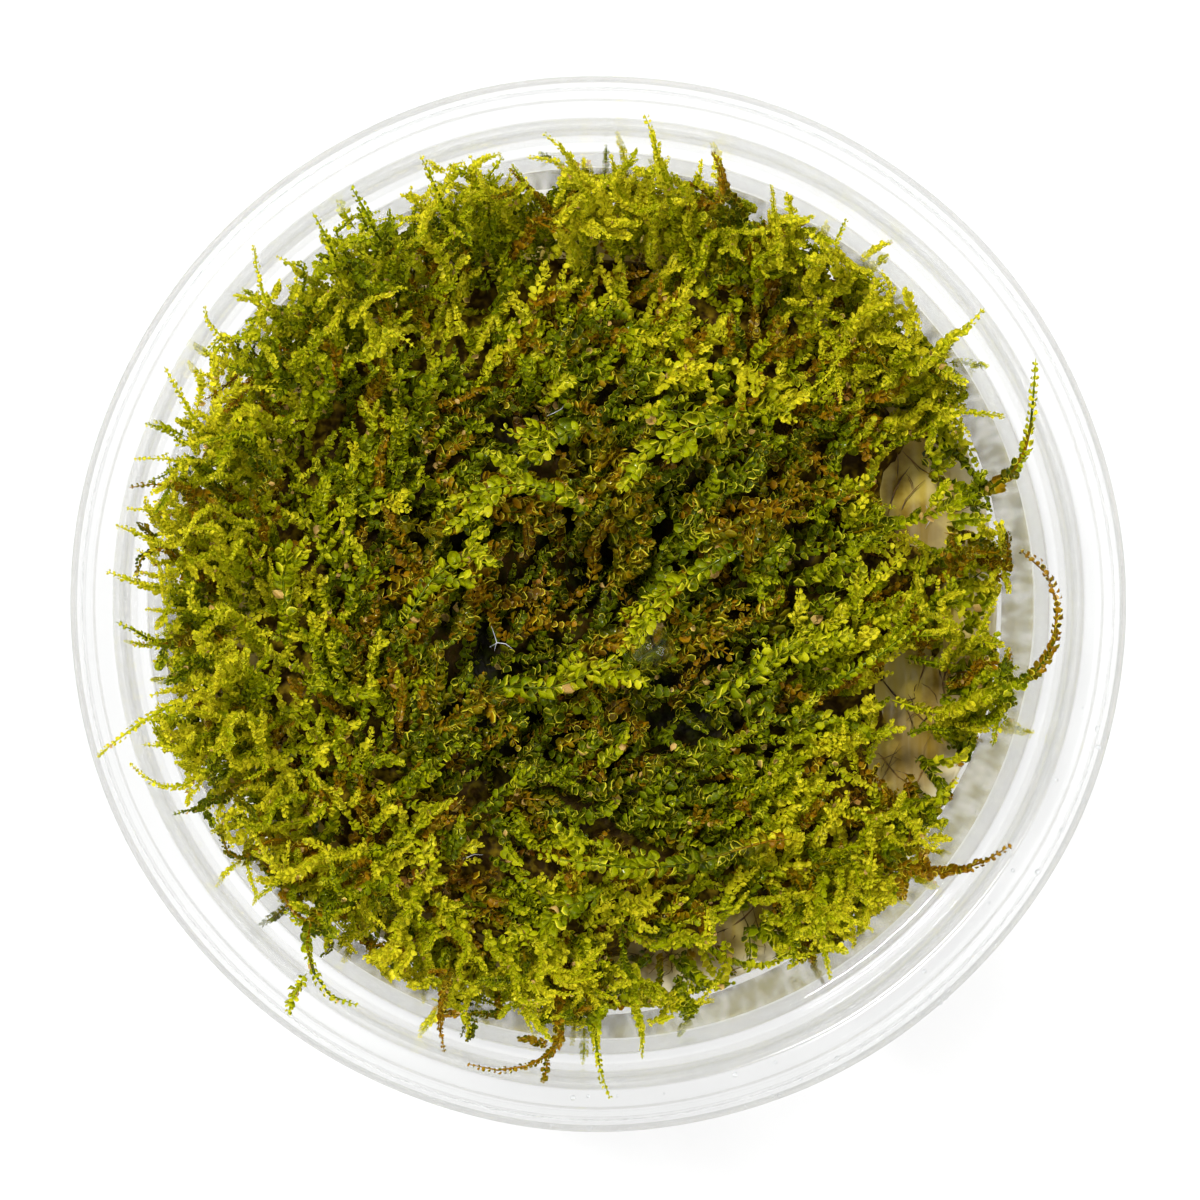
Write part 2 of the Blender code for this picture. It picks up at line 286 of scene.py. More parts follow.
@cache
def mottling() -> bpy.types.NodeTree:
    """The patchy unevenness that every finish here has, made once.

    Returns:
        A group that takes coordinates, scale, detail and two levels, and gives fractal noise as a height
        from 0 to 1, and the share, which rises smoothly from 0 to 1 as the height passes between the levels.
    """
    graph = Graph("Mottling", group=True)
    face = graph.tree.interface
    face.new_socket("Where", in_out="INPUT", socket_type="NodeSocketVector")
    for name, value in (("Scale", 100.0), ("Detail", 3.0), ("Low", 0.35), ("High", 0.7)):
        face.new_socket(name, in_out="INPUT", socket_type="NodeSocketFloat").default_value = value
    for name in ("Height", "Share"):
        face.new_socket(name, in_out="OUTPUT", socket_type="NodeSocketFloat")
    given = graph.tree.nodes.new("NodeGroupInput").outputs
    noise = graph.add("TexNoise", {"Vector": given["Where"], "Scale": given["Scale"], "Detail": given["Detail"]})
    out = graph.tree.nodes.new("NodeGroupOutput")
    share = graph.band(noise.outputs["Fac"], given["Low"], given["High"])
    graph.tree.links.new(noise.outputs["Fac"], out.inputs["Height"])
    graph.tree.links.new(share, out.inputs["Share"])
    return graph.tree


def srgb(red: int, green: int, blue: int) -> Colour:
    """A colour from 0 to 255 as the linear values that shaders take."""
    share = np.array([red, green, blue]) / 255.0
    return tuple(np.where(share <= 0.04045, share / 12.92, ((share + 0.055) / 1.055) ** 2.4).tolist())


@dataclass(frozen=True)
class MossFinish:
    """Wet moss: its tone runs from dead cream and brown to fresh green across the map, its rim up it.

    The map's right half is the same run of tones with a painted highlight on the rim and painted shade in the middle of
    the bowl.
    """

    name: str = "Leafy moss"
    gloss: float = 0.26
    glow: float = 0.5
    shine: float = 0.16
    tones: tuple = (
        (0.0, srgb(222, 192, 120)),
        (0.07, srgb(156, 100, 20)),
        (0.14, srgb(50, 36, 0)),
        (0.24, srgb(104, 72, 2)),
        (0.34, srgb(156, 112, 4)),
        (0.44, srgb(116, 104, 0)),
        (0.54, srgb(58, 70, 0)),
        (0.66, srgb(100, 114, 0)),
        (0.80, srgb(160, 166, 0)),
        (1.0, srgb(224, 212, 38)),
    )
    # Painted shade for the middle of a ringed leaf's bowl, and a painted highlight for leaf rims.
    inside: Colour = srgb(60, 68, 0)
    rim: Colour = srgb(250, 238, 64)

    def build(self) -> bpy.types.Material:
        """Makes the material."""
        graph = Graph(self.name)
        uv = graph.add("UVMap", uv_map=UV_NAME).outputs[0]
        parts = graph.add("SeparateXYZ", {0: uv})
        across, up = parts.outputs[0], parts.outputs[1]
        ringed = graph.math("GREATER_THAN", across, 0.5)
        tone = graph.math("FRACT", graph.math("MULTIPLY", across, 2.0))
        height, share = graph.mottle(uv, 46.0, 1.0, 0.3, 0.7)
        shade = graph.band(share, 0.0, 1.0, 0.82, 1.34)
        grey = graph.add("CombineColor", {0: shade, 1: shade, 2: shade}).outputs[0]
        base = graph.mix(1.0, graph.ramp(tone, self.tones), grey, "MULTIPLY")
        # Painted shade in the middle of a ringed leaf's bowl.
        hollow = graph.math("MULTIPLY", graph.band(up, 0.8, 0.6), ringed)
        base = graph.mix(graph.math("MULTIPLY", hollow, 0.5), base, (*self.inside, 1.0))
        # A painted highlight along leaf rims: strong on ringed leaves, faint on the rest.
        rim_highlight = graph.math("MULTIPLY", graph.band(up, 0.78, 0.98), graph.band(ringed, 0.0, 1.0, 0.16, 0.95))
        base = graph.mix(rim_highlight, base, (*self.rim, 1.0))
        roughness = graph.band(share, 0.0, 1.0, self.gloss - 0.08, self.gloss + 0.14)
        _, wet = graph.mottle(uv, 120.0, 0.0, 0.54, 0.62)
        skin = graph.add("BsdfPrincipled", {
            "Base Color": base, "Roughness": roughness, "IOR": 1.4, "Specular IOR Level": self.shine,
            "Coat Weight": wet, "Coat Roughness": 0.12, "Coat IOR": 1.4, "Normal": graph.bump(height, 0.00006, 0.5),
        })
        through = graph.add("BsdfTranslucent", {"Color": base})
        both = graph.add("MixShader", {0: self.glow, 1: skin.outputs[0], 2: through.outputs[0]})
        return graph.finish(both.outputs[0])


@dataclass(frozen=True)
class ClearFinish:
    """A clear material, such as plastic or water. A share of what is behind it shows straight through."""

    name: str
    colour: Colour
    roughness: float
    ior: float
    grain: float
    bare: float
    depth: float = 0.00002
    frosted_above: float = 1.0
    frost: float = 0.0

    def build(self) -> bpy.types.Material:
        """Makes the material: clear, a little uneven, and frosted above a height where that is given."""
        graph = Graph(self.name)
        place = graph.place()
        height, share = graph.mottle(place, self.grain, 1.0)
        level = graph.add("SeparateXYZ", {0: place}).outputs[2]
        frosted = graph.band(level, self.frosted_above - 0.0015, self.frosted_above, 0.0, self.frost)
        roughness = graph.math("ADD", graph.band(share, 0.0, 1.0, self.roughness, self.roughness * 2.0), frosted)
        duller = tuple(channel * 0.985 for channel in self.colour)
        skin = graph.add("BsdfPrincipled", {
            "Base Color": graph.mix(share, (*self.colour, 1.0), (*duller, 1.0)), "Roughness": roughness,
            "IOR": self.ior, "Transmission Weight": 1.0, "Normal": graph.bump(height, self.depth, 0.4),
        })
        clear = graph.add("BsdfTransparent", {"Color": (*self.colour, 1.0)}).outputs[0]
        thin = graph.add("MixShader", {0: self.bare, 1: skin.outputs[0], 2: clear}).outputs[0]
        shadow = graph.add("LightPath").outputs["Is Shadow Ray"]
        return graph.finish(graph.add("MixShader", {0: shadow, 1: thin, 2: clear}).outputs[0])


@dataclass(frozen=True)
class GelFinish:
    """Set gel: pale and cloudy at the cup's wall, tan and brown under the moss, partly stained and partly painted shade
    from the moss, wet on its surface.
    """

    name: str = "Nutrient gel"
    pale: Colour = srgb(206, 198, 170)
    dull: Colour = srgb(176, 164, 126)
    # Tan and stain are partly stain and partly painted shade where the moss shades the gel.
    tan: Colour = srgb(178, 156, 62)
    stain: Colour = srgb(126, 100, 18)
    clear_from: float = 0.0318
    stain_and_shade_to: float = 0.0296

    def build(self) -> bpy.types.Material:
        """Makes the material."""
        graph = Graph(self.name)
        place = graph.place()
        clouds, cloudy = graph.mottle(place, 160.0, 4.0)
        _, stained = graph.mottle(place, 260.0, 5.0, 0.4, 0.62)
        stretched = graph.add("Mapping", {"Vector": place, "Scale": (900.0, 120.0, 300.0), "Rotation": (0.0, 0.0, 0.5)})
        streaks, streaky = graph.mottle(stretched.outputs[0], 1.0, 2.0, 0.3, 0.7)
        # Under the moss the gel turns tan and brown: partly stain, partly painted shade.
        under = graph.band(graph.out_from_axis(place), self.clear_from, self.stain_and_shade_to)
        edge = graph.mix(cloudy, (*self.dull, 1.0), (*self.pale, 1.0))
        middle = graph.mix(stained, (*self.tan, 1.0), (*self.stain, 1.0))
        base = graph.mix(under, edge, middle)
        base = graph.mix(graph.math("MULTIPLY", streaky, 0.2), base, (*self.pale, 1.0))
        grain = graph.math("ADD", clouds, graph.math("MULTIPLY", streaks, 0.6))
        skin = graph.add("BsdfPrincipled", {
            "Base Color": base, "Roughness": graph.band(streaky, 0.0, 1.0, 0.16, 0.34), "IOR": 1.34,
            "Normal": graph.bump(grain, 0.0003, 0.5),
        })
        through = graph.add("BsdfTranslucent", {"Color": base})
        both = graph.add("MixShader", {0: 0.35, 1: skin.outputs[0], 2: through.outputs[0]})
        return graph.finish(both.outputs[0])


@dataclass(frozen=True)
class FilmFinish:
    """A thin wet stain on the plastic: olive, streaked up and down, and clear in places."""

    name: str = "Stained film"
    olive: Colour = srgb(138, 128, 50)
    grey: Colour = srgb(158, 152, 112)
    thin: float = 0.12
    thick: float = 0.46

    def build(self) -> bpy.types.Material:
        """Makes the material."""
        graph = Graph(self.name)
        stretched = graph.add("Mapping", {"Vector": graph.place(), "Scale": (1.0, 1.0, 0.06)})
        streaks, streaky = graph.mottle(stretched.outputs[0], 900.0, 1.0, 0.1, 0.9)
        _, patchy = graph.mottle(graph.place(), 90.0, 2.0, 0.4, 0.6)
        film = graph.add("BsdfPrincipled", {
            "Base Color": graph.mix(patchy, (*self.olive, 1.0), (*self.grey, 1.0)),
            "Roughness": graph.band(streaky, 0.0, 1.0, 0.3, 0.5),
            "Alpha": graph.band(streaky, 0.0, 1.0, self.thin, self.thick),
            "Normal": graph.bump(streaks, 0.0001, 0.4),
        })
        return graph.finish(film.outputs[0])


@dataclass(frozen=True)
class MattedFinish:
    """Old moss and root hairs pressed together under the living shoots: brown mottled with near black, partly its own
    dark colour and partly painted shade, and lighter olive near the wall as painted light; rough and wet.
    """

    name: str = "Matted old moss"
    # The near black is partly painted shade; the olive is painted light near the wall.
    deep: Colour = srgb(6, 5, 0)
    brown: Colour = srgb(46, 30, 1)
    green: Colour = srgb(26, 30, 0)
    olive: Colour = srgb(112, 92, 14)
    # The body keeps its dark mix out to the first radius and is lightened by painted light from the second, in metres.
    painted_shade_to: float = 0.012
    painted_light_from: float = 0.027

    def build(self) -> bpy.types.Material:
        """Makes the material."""
        graph = Graph(self.name)
        place = graph.place()
        _, clumped = graph.mottle(place, 240.0, 2.0, 0.4, 0.7)
        strands, stringy = graph.mottle(place, 1400.0, 1.0, 0.4, 0.75)
        base = graph.mix(clumped, (*self.deep, 1.0), (*self.brown, 1.0))
        base = graph.mix(graph.math("MULTIPLY", stringy, 0.7), base, (*self.green, 1.0))
        # Near the wall the body is lightened to brown and olive: painted light.
        outer = graph.band(graph.out_from_axis(place), self.painted_shade_to, self.painted_light_from, 0.0, 0.85)
        base = graph.mix(outer, base, graph.mix(stringy, (*self.brown, 1.0), (*self.olive, 1.0)))
        skin = graph.add("BsdfPrincipled", {
            "Base Color": base, "Roughness": graph.band(stringy, 0.0, 1.0, 0.6, 0.9),
            "Specular IOR Level": 0.05, "Normal": graph.bump(strands, 0.0005, 0.8),
        })
        return graph.finish(skin.outputs[0])


@dataclass(frozen=True)
class ThreadFinish:
    """Root hairs: thin threads of one colour, paler in places."""

    name: str
    dark: Colour
    light: Colour

    def build(self) -> bpy.types.Material:
        """Makes the material."""
        graph = Graph(self.name)
        height, patchy = graph.mottle(graph.place(), 700.0, 2.0)
        skin = graph.add("BsdfPrincipled", {
            "Base Color": graph.mix(patchy, (*self.dark, 1.0), (*self.light, 1.0)),
            "Roughness": graph.band(patchy, 0.0, 1.0, 0.35, 0.6),
            "Specular IOR Level": 0.2, "Normal": graph.bump(height, 0.0001, 0.4),
        })
        return graph.finish(skin.outputs[0])


# --------------------------------------------------------------------------- leaves and shoots


@dataclass(frozen=True)
class HabitForm:
    """How leaves stand on a stem, in shares of a leaf's width and in degrees."""

    rows: int
    spacing: float
    angle: float
    length: float
    point: float
    cup: float
    stem: float


class Habit(Enum):
    """The ways in which this moss grows."""

    PEARL = HabitForm(rows=2, spacing=0.62, angle=52.0, length=0.98, point=0.0, cup=0.42, stem=0.1)
    SLENDER = HabitForm(rows=3, spacing=0.8, angle=50.0, length=1.0, point=0.12, cup=0.4, stem=0.24)


class Detail(Enum):
    """How finely a leaf is made: points in a ring, and the rings' places from its middle out."""

    FINE = (8, (0.66, 1.0))
    MIDDLE = (7, (0.7, 1.0))
    PLAIN = (7, (1.0,))
    SMALL = (6, (1.0,))


@dataclass
class Shoot:
    """One shoot: a route from root to tip in millimetres, its leaves' width, and its tones on the way there."""

    route: Array
    leaf: float
    tones: tuple[float, ...]
    habit: Habit = Habit.PEARL
    detail: Detail = Detail.FINE
    ringed: float = 0.25
    roll: float = 0.0
    branches: int = 0

    def tone(self, share: Array) -> Array:
        """Tones at shares of the route, which has reached its last one at four fifths."""
        return np.interp(share * 1.25, np.linspace(0, 1, len(self.tones)), self.tones)


def walk(route: Array, places: Array) -> tuple[Array, Array]:
    """Points and directions at distances along a route.

    Args:
        route: Points of the route.
        places: Distances from its root.

    Returns:
        Points, and directions of length one.
    """
    along = np.concatenate([[0.0], np.cumsum(np.linalg.norm(np.diff(route, axis=0), axis=1))])
    slopes = np.gradient(route, np.maximum(along, np.arange(len(along)) * 1e-6), axis=0)
    points = np.stack([np.interp(places, along, axis) for axis in route.T], -1)
    return points, unit(np.stack([np.interp(places, along, axis) for axis in slopes.T], -1))


def length_of(route: Array) -> float:
    """Length of a route."""
    return float(np.linalg.norm(np.diff(route, axis=0), axis=1).sum())


def upright_frame(ahead: Array) -> tuple[Array, Array]:
    """The side and back directions of a shoot: its back is upward, or towards its root where it climbs.

    Args:
        ahead: Directions along the shoot.

    Returns:
        Back directions and side directions.
    """
    level = ahead * (1.0, 1.0, 0.0)
    up = np.array([0.0, 0.0, 1.0]) - 0.5 * level
    back = unit(up - dot(up, ahead) * ahead + 1e-6)
    return back, np.cross(ahead, back)


class Foliage:
    """Collects leaves and stems, and makes them one piece."""

    def __init__(self, seed: int) -> None:
        """Starts empty, with its own run of random numbers."""
        self.draw = np.random.default_rng(seed)
        self.points: list[Array] = []
        self.uvs: list[Array] = []
        self.faces: list[Array] = []
        self.count = 0

    def add(self, points: Array, uvs: Array, faces: Array) -> None:
        """Adds a finished set of vertices, map places and triangles."""
        self.points.append(points)
        self.uvs.append(uvs)
        self.faces.append(faces + self.count)
        self.count += len(points)

    def add_leaves(self, detail: Detail, foot: Array, ahead: Array, hollow: Array, length: Array, width: Array,
                   cup: Array, point: float, tone: Array, ringed: Array) -> None:
        """Adds leaves, each a bowl on a polar grid.

        At r from the middle and angle a, a leaf reaches length * (1 + r cos a) / 2 ahead of its foot and
        width * r sin a / 2 to the side, narrowing towards its point, and its middle lies cup * (1 - r^2)
        behind its rim.

        Args:
            detail: Points in a ring and the rings.
            foot: Where each leaf joins the stem.
            ahead: From each foot to the leaf's tip.
            hollow: The direction that each bowl opens to.
            length: Lengths.
            width: Widths.
            cup: Depths.
            point: How much narrower a leaf is towards its tip, from 0, round.
            tone: Tones from 0, old, to 1, fresh.
            ringed: 1 where the rim has a painted highlight, and 0 elsewhere.
        """
        sectors, rings = detail.value
        turn = np.tile(np.arange(sectors) * 2 * math.pi / sectors + math.pi, len(rings))
        reach = np.repeat(rings, sectors)
        reach, turn = np.append(0.0, reach), np.append(0.0, turn)
        side = np.cross(hollow, ahead)
        wave = self.draw.uniform(0, 6.28, (len(foot), 1))
        forward = length[:, None] * (0.5 + 0.5 * reach * np.cos(turn))
        sideways = 0.5 * width[:, None] * reach * np.sin(turn) * (1 - point * (0.5 + 0.5 * np.cos(turn) * reach))
        lift = cup[:, None] * (reach**2 - 1 + 0.3 * reach**2 * np.sin(2 * turn + wave))
        lift = lift - lift[:, 1 + sectors * (len(rings) - 1)][:, None]
        points = (
            foot[:, None]
            + forward[..., None] * ahead[:, None]
            + sideways[..., None] * side[:, None]
            + lift[..., None] * hollow[:, None]
        )
        across = np.clip(tone, 0.02, 0.98)[:, None] + 0.012 * reach * np.sin(turn)
        uvs = np.stack([0.5 * (across + ringed[:, None]), 0.02 + 0.96 * reach + 0 * across], -1)
        one = [fan_faces(0, 1, sectors)]
        if len(rings) > 1:
            one.append(grid_faces(len(rings), sectors)[:, ::-1] + 1)
        one = np.vstack(one)
        starts = np.arange(len(foot)) * len(reach)
        self.add(points.reshape(-1, 3), uvs.reshape(-1, 2), (starts[:, None, None] + one).reshape(-1, 3))

    def add_stem(self, route: Array, radius: float, tones: tuple[float, ...], sides: int = 4) -> None:
        """Adds a stem: a ring of points carried along the route, closed to a point at both ends.

        Args:
            route: The stem's points.
            radius: Its half width.
            tones: Its tones from root to tip.
            sides: Points in the ring.
        """
        rows = max(4, min(14, round(length_of(route) / 0.9)))
        share = np.linspace(0, 1, rows)
        middle, ahead = walk(route, share * length_of(route))
        back, side = upright_frame(ahead)
        turn = np.arange(sides) * 2 * math.pi / sides
        thick = radius * np.interp(share, (0, 0.1, 0.8, 1), (0.3, 1, 0.8, 0.25))[:, None, None]
        ring = middle[:, None] + thick * (
            np.cos(turn)[:, None] * side[:, None] + np.sin(turn)[:, None] * back[:, None]
        )
        ends = np.stack([middle[0] - ahead[0] * radius, middle[-1] + ahead[-1] * radius])
        tone = np.clip(np.interp(share, np.linspace(0, 1, len(tones)), tones), 0.02, 0.98)
        uvs = np.stack(np.broadcast_arrays(0.5 * tone[:, None] + 0.004 * np.sin(turn), 0.1 + 0.08 * np.cos(turn)), -1)
        faces = [
            grid_faces(rows, sides)[:, ::-1],
            fan_faces(rows * sides, 0, sides),
            fan_faces(rows * sides + 1, (rows - 1) * sides, sides, flip=True),
        ]
        points = np.vstack([ring.reshape(-1, 3), ends])
        end_uvs = np.array([[0.5 * tone[0], 0.1], [0.5 * tone[-1], 0.1]])
        self.add(points, np.vstack([uvs.reshape(-1, 2), end_uvs]), np.vstack(faces))

    def grow(self, shoot: Shoot) -> None:
        """Adds one shoot with its stem, leaves and side branches."""
        form, draw = shoot.habit.value, self.draw
        total = length_of(shoot.route)
        places = np.arange(0.5 * shoot.leaf, total, form.spacing * shoot.leaf)
        share = places / total
        middle, ahead = walk(shoot.route, places)
        back, side = upright_frame(ahead)
        count, rows = len(places), form.rows
        if form.rows == 2:
            turn = np.radians(np.array([32.0, 148.0])) + np.zeros((count, 1))
        else:
            turn = np.arange(count)[:, None] * 2.4 + np.arange(rows) * 2 * math.pi / rows
        turn = turn + math.radians(shoot.roll) + draw.normal(0, 0.28, (count, rows))
        out = np.cos(turn)[..., None] * side[:, None] + np.sin(turn)[..., None] * back[:, None]
        lean = form.angle + np.interp(share, (0, 0.7, 1), (8, 0, -26))[:, None] + draw.normal(0, 9, (count, rows))
        lean = np.radians(lean)[..., None]
        stem_way = np.broadcast_to(ahead[:, None], out.shape)
        leaf_way = unit(np.cos(lean) * stem_way + np.sin(lean) * out)
        look = 0.75 * stem_way - 0.35 * out + (0.55 if rows == 2 else 0.1) * back[:, None]
        look = look + draw.normal(0, 0.22, look.shape)
        hollow = unit(look - dot(look, leaf_way) * leaf_way)
        size = shoot.leaf * np.interp(share, (0, 0.15, 0.65, 0.92, 1), (0.7, 1, 0.95, 0.62, 0.4))[:, None]
        size = size * np.clip(draw.normal(1, 0.16, (count, rows)), 0.6, 1.5)
        radius = shoot.leaf * form.stem
        foot = middle[:, None] + out * radius * 0.6
        tone = shoot.tone(share)[:, None]
        tone = tone + draw.normal(0, 0.055, (count, rows))
        tone = np.where(draw.random((count, rows)) < 0.012, 0.03, tone)
        ringed = (draw.random((count, rows)) < shoot.ringed).astype(float)
        self.add_leaves(
            shoot.detail, foot.reshape(-1, 3), leaf_way.reshape(-1, 3), hollow.reshape(-1, 3),
            (size * form.length).ravel(), size.ravel(), (size * form.cup).ravel(), form.point,
            tone.ravel(), ringed.ravel(),
        )
        self.add_stem(shoot.route, radius, tuple(tone - 0.08 for tone in shoot.tones))
        for _ in range(shoot.branches):
            self.branch(shoot, total)

    def branch(self, shoot: Shoot, total: float) -> None:
        """Adds a short side shoot that turns from its parent's way at 35 to 60 degrees and bends back to it."""
        draw = self.draw
        share = draw.uniform(0.3, 0.85)
        start, ahead = walk(shoot.route, np.array([share * total]))
        back, side = upright_frame(ahead)
        lean = math.radians(draw.uniform(35, 60)) * draw.choice((-1, 1))
        steps = np.linspace(0, 1, 6)[:, None]
        way = np.cos(lean * (1 - 0.5 * steps)) * ahead + np.sin(lean * (1 - 0.5 * steps)) * side
        way = way + draw.uniform(0.0, 0.35) * back
        reach = draw.uniform(0.22, 0.42) * min(total, 12.0)
        route = start + np.cumsum(unit(way), axis=0) * reach / len(steps)
        tones = (float(shoot.tone(share)), 0.5 * float(shoot.tone(share)) + 0.5 * shoot.tones[-1])
        twig = Shoot(route, shoot.leaf * 0.82, tones, shoot.habit, shoot.detail, shoot.ringed, draw.uniform(-30, 30))
        self.grow(twig)

    def piece(self, name: str, finish: bpy.types.Material, slot: str,
              stands_for: tuple[str, ...] = ()) -> bpy.types.Object:
        """Makes everything added one piece."""
        return make_piece(
            name, np.vstack(self.points), np.vstack(self.faces), finish, np.vstack(self.uvs), stands_for
        )


# --------------------------------------------------------------------------- the mat of moss


@dataclass(frozen=True)
class CupForm:
    """The cup's sizes, which the moss, gel and water inside it keep to."""

    height: float = 46.0
    rim_radius: float = 40.0
    seat_radius: float = 35.9
    shoulder_height: float = 38.2
    shoulder_radius: float = 33.7
    floor_radius: float = 31.2
    floor: float = 1.0
    wall: float = 0.8
    skirt: float = 5.4

    def wall_radius(self, height: Array | float) -> Array | float:
        """Inner radius of the tapered wall at a height."""
        share = (height - self.floor) / (self.shoulder_height - self.floor)
        return self.floor_radius + share * (self.shoulder_radius - self.floor_radius)


@dataclass(frozen=True)
class MatForm:
    """The lumpy body of the moss: a leaning slab with a hollow in its middle and a rounded edge."""

    base: float = 18.3
    thickness: float = 12.0
    lean: tuple[float, float] = (-0.22, 0.08)
    radius: float = 30.5
    hollow_place: tuple[float, float] = (0.0, 2.0)
    hollow_depth: float = 7.0
    hollow_width: float = 2.8
    edge_share: float = 0.72

    def edge(self, angle: Array) -> Array:
        """Radius of the uneven outline in a direction."""
        return self.radius + 0.4 * np.sin(3 * angle + 1.0) + 0.3 * np.sin(7 * angle)

    def top(self, x: Array, y: Array) -> Array:
        """Height of the top: a slope, two waves of lumps, less a bell-shaped hollow, falling at the edge."""
        slab = self.thickness + self.lean[0] * x + self.lean[1] * y
        lumps = 0.7 * np.sin(x / 2.9 + 1.0) * np.cos(y / 2.6) + 0.5 * np.sin((x + y) / 3.7 + 2.0)
        away = (x - self.hollow_place[0]) ** 2 + (y - self.hollow_place[1]) ** 2
        hollow = self.hollow_depth * np.exp(-away / (2 * self.hollow_width**2))
        out = np.clip(np.hypot(x, y) / self.edge(np.arctan2(y, x)), 0.0, 1.0)
        return self.base + (slab + lumps - hollow) * (self.edge_share + (1 - self.edge_share) * np.sqrt(1 - out**10))


# How the moss lies and looks in its zones: place in plan, heading in degrees from +X to +Y, leaf width, and tone.
ZONES = np.array((
    (-13, 30, 100, 0.9, 0.36), (-5, 31, 105, 0.8, 0.34), (3, 29, 95, 1.0, 0.82), (10, 31, 115, 0.9, 0.66),
    (16, 28, 70, 0.9, 0.58), (-26, 22, 135, 0.9, 0.84), (-18, 26, 110, 0.9, 0.54), (-7, 24, 80, 1.1, 0.76),
    (2, 24, 40, 1.1, 0.8), (12, 26, 70, 1.1, 0.72), (21, 24, 25, 1.0, 0.78), (-29, 15, 105, 0.8, 0.65),
    (-22, 16, 90, 0.8, 0.34), (-12, 20, 45, 1.0, 0.82), (-3, 19, 55, 1.1, 0.6), (7, 19, 45, 1.1, 0.78),
    (16, 20, 35, 1.0, 0.6), (24, 17, 30, 1.1, 0.75), (-31, 9, 140, 0.8, 0.62), (-22, 11, 100, 0.9, 0.62),
    (-16, 13, 65, 1.0, 0.74), (-9, 13, 20, 1.0, 0.45), (0, 13, 15, 1.0, 0.72), (11, 13, 45, 1.3, 0.66),
    (17, 10, 20, 1.0, 0.34), (24, 10, 30, 1.1, 0.76), (-33, 3, 180, 0.8, 0.72), (-24, 2, 120, 1.0, 0.8),
    (-19, 3, 60, 1.0, 0.5), (-8, 7, 15, 1.1, 0.82), (-3, 0, 80, 0.8, 0.45), (5, 4, 45, 1.1, 0.7),
    (14, 4, 35, 1.2, 0.62), (23, 4, 25, 1.2, 0.84), (29, 0, 60, 1.0, 0.76), (-22, -5, 100, 0.9, 0.68),
    (-14, -3, 65, 1.0, 0.74), (-8, -2, 50, 1.0, 0.48), (4, -3, 35, 1.2, 0.7), (14, -2, 28, 1.1, 0.7),
    (-33, -10, 185, 0.8, 0.66), (-25, -10, 115, 0.9, 0.6), (-16, -8, 55, 1.0, 0.74), (-5, -8, 20, 1.1, 0.82),
    (5, -8, 20, 1.0, 0.42), (14, -7, 25, 1.1, 0.84), (23, -5, 40, 1.1, 0.78), (-27, -17, 115, 0.9, 0.44),
    (-17, -13, 45, 1.0, 0.82), (-10, -14, 25, 1.0, 0.48), (1, -14, 20, 1.1, 0.66), (11, -13, 28, 1.1, 0.74),
    (19, -14, 28, 1.1, 0.78), (27, -14, 85, 1.0, 0.55), (-24, -23, 140, 0.9, 0.78), (-19, -27, 280, 0.9, 0.76),
    (-12, -21, 25, 1.1, 0.8), (-7, -20, 25, 1.0, 0.42), (-10, -30, 290, 0.9, 0.7), (0, -22, 20, 1.1, 0.8),
    (0, -32, 285, 0.9, 0.64), (8, -21, 15, 1.1, 0.58), (16, -22, 35, 1.1, 0.74), (8, -29, 10, 1.0, 0.62),
    (15, -27, 40, 1.1, 0.66),
))

# Places where the moss is thin and the gel shows: centre in plan, and reach along x and y.
WINDOWS = np.array((
    (28.0, 9.0, 4.9, 4.4), (30.4, -1.0, 2.4, 3.2), (25.4, -6.9, 2.5, 2.9), (25.6, -13.2, 3.2, 2.6),
    (11.8, -27.6, 2.6, 3.2), (4.8, -28.6, 2.8, 1.5),
))

# Dark gaps between shoots: centre in plan and reach.
GAPS = np.array((
    (0.2, 2.2, 3.0), (-4.4, 12.8, 2.2), (-8.4, -4.2, 1.6), (-20.8, 15.6, 2.4), (-10.6, -2.8, 1.8), (-1.4, 30.0, 1.2),
    (-27.6, -6.0, 1.6), (-9.4, -14.2, 1.8), (7.4, -10.8, 2.0), (-7.8, -19.6, 1.6), (16.6, 1.4, 1.6), (10.6, 21.6, 1.4),
    (5.6, 10.4, 1.4), (-16.0, 21.6, 1.4), (1.4, -17.4, 1.6),
))


# Stretches of the mat's edge where short shoots reach for the wall: start and end in degrees, and how many.
FRINGE = (
    (146, 212, 104), (212, 300, 104), (62, 100, 66), (100, 146, 68), (28, 62, 40), (-24, 28, 60), (-60, -24, 50),
)


class Side(Enum):
    """The parts of the mat that are made as pieces of their own: the middle, and six round it."""

    RIGHT = "right"
    UPPER_RIGHT = "upper_right"
    UPPER_LEFT = "upper_left"
    LEFT = "left"
    LOWER_LEFT = "lower_left"
    LOWER_RIGHT = "lower_right"
    CENTRE = "centre"

    @staticmethod
    def of(x: float, y: float) -> "Side":
        """The side on which a place in plan lies."""
        if math.hypot(x, y) < 15.5:
            return Side.CENTRE
        sixth = round(math.degrees(math.atan2(y, x)) / 60) % 6
        return list(Side)[sixth]


@dataclass
class Layer:
    """One depth of the mat: how many shoots it has, how deep they lie, and how they are made."""

    count: int
    depth: tuple[float, float]
    length: tuple[float, float]
    leaf: float
    # How much painted shade darkens the layer's tones for its depth.
    painted_darkening: float
    detail: Detail
    ringed: float
    gap_share: float


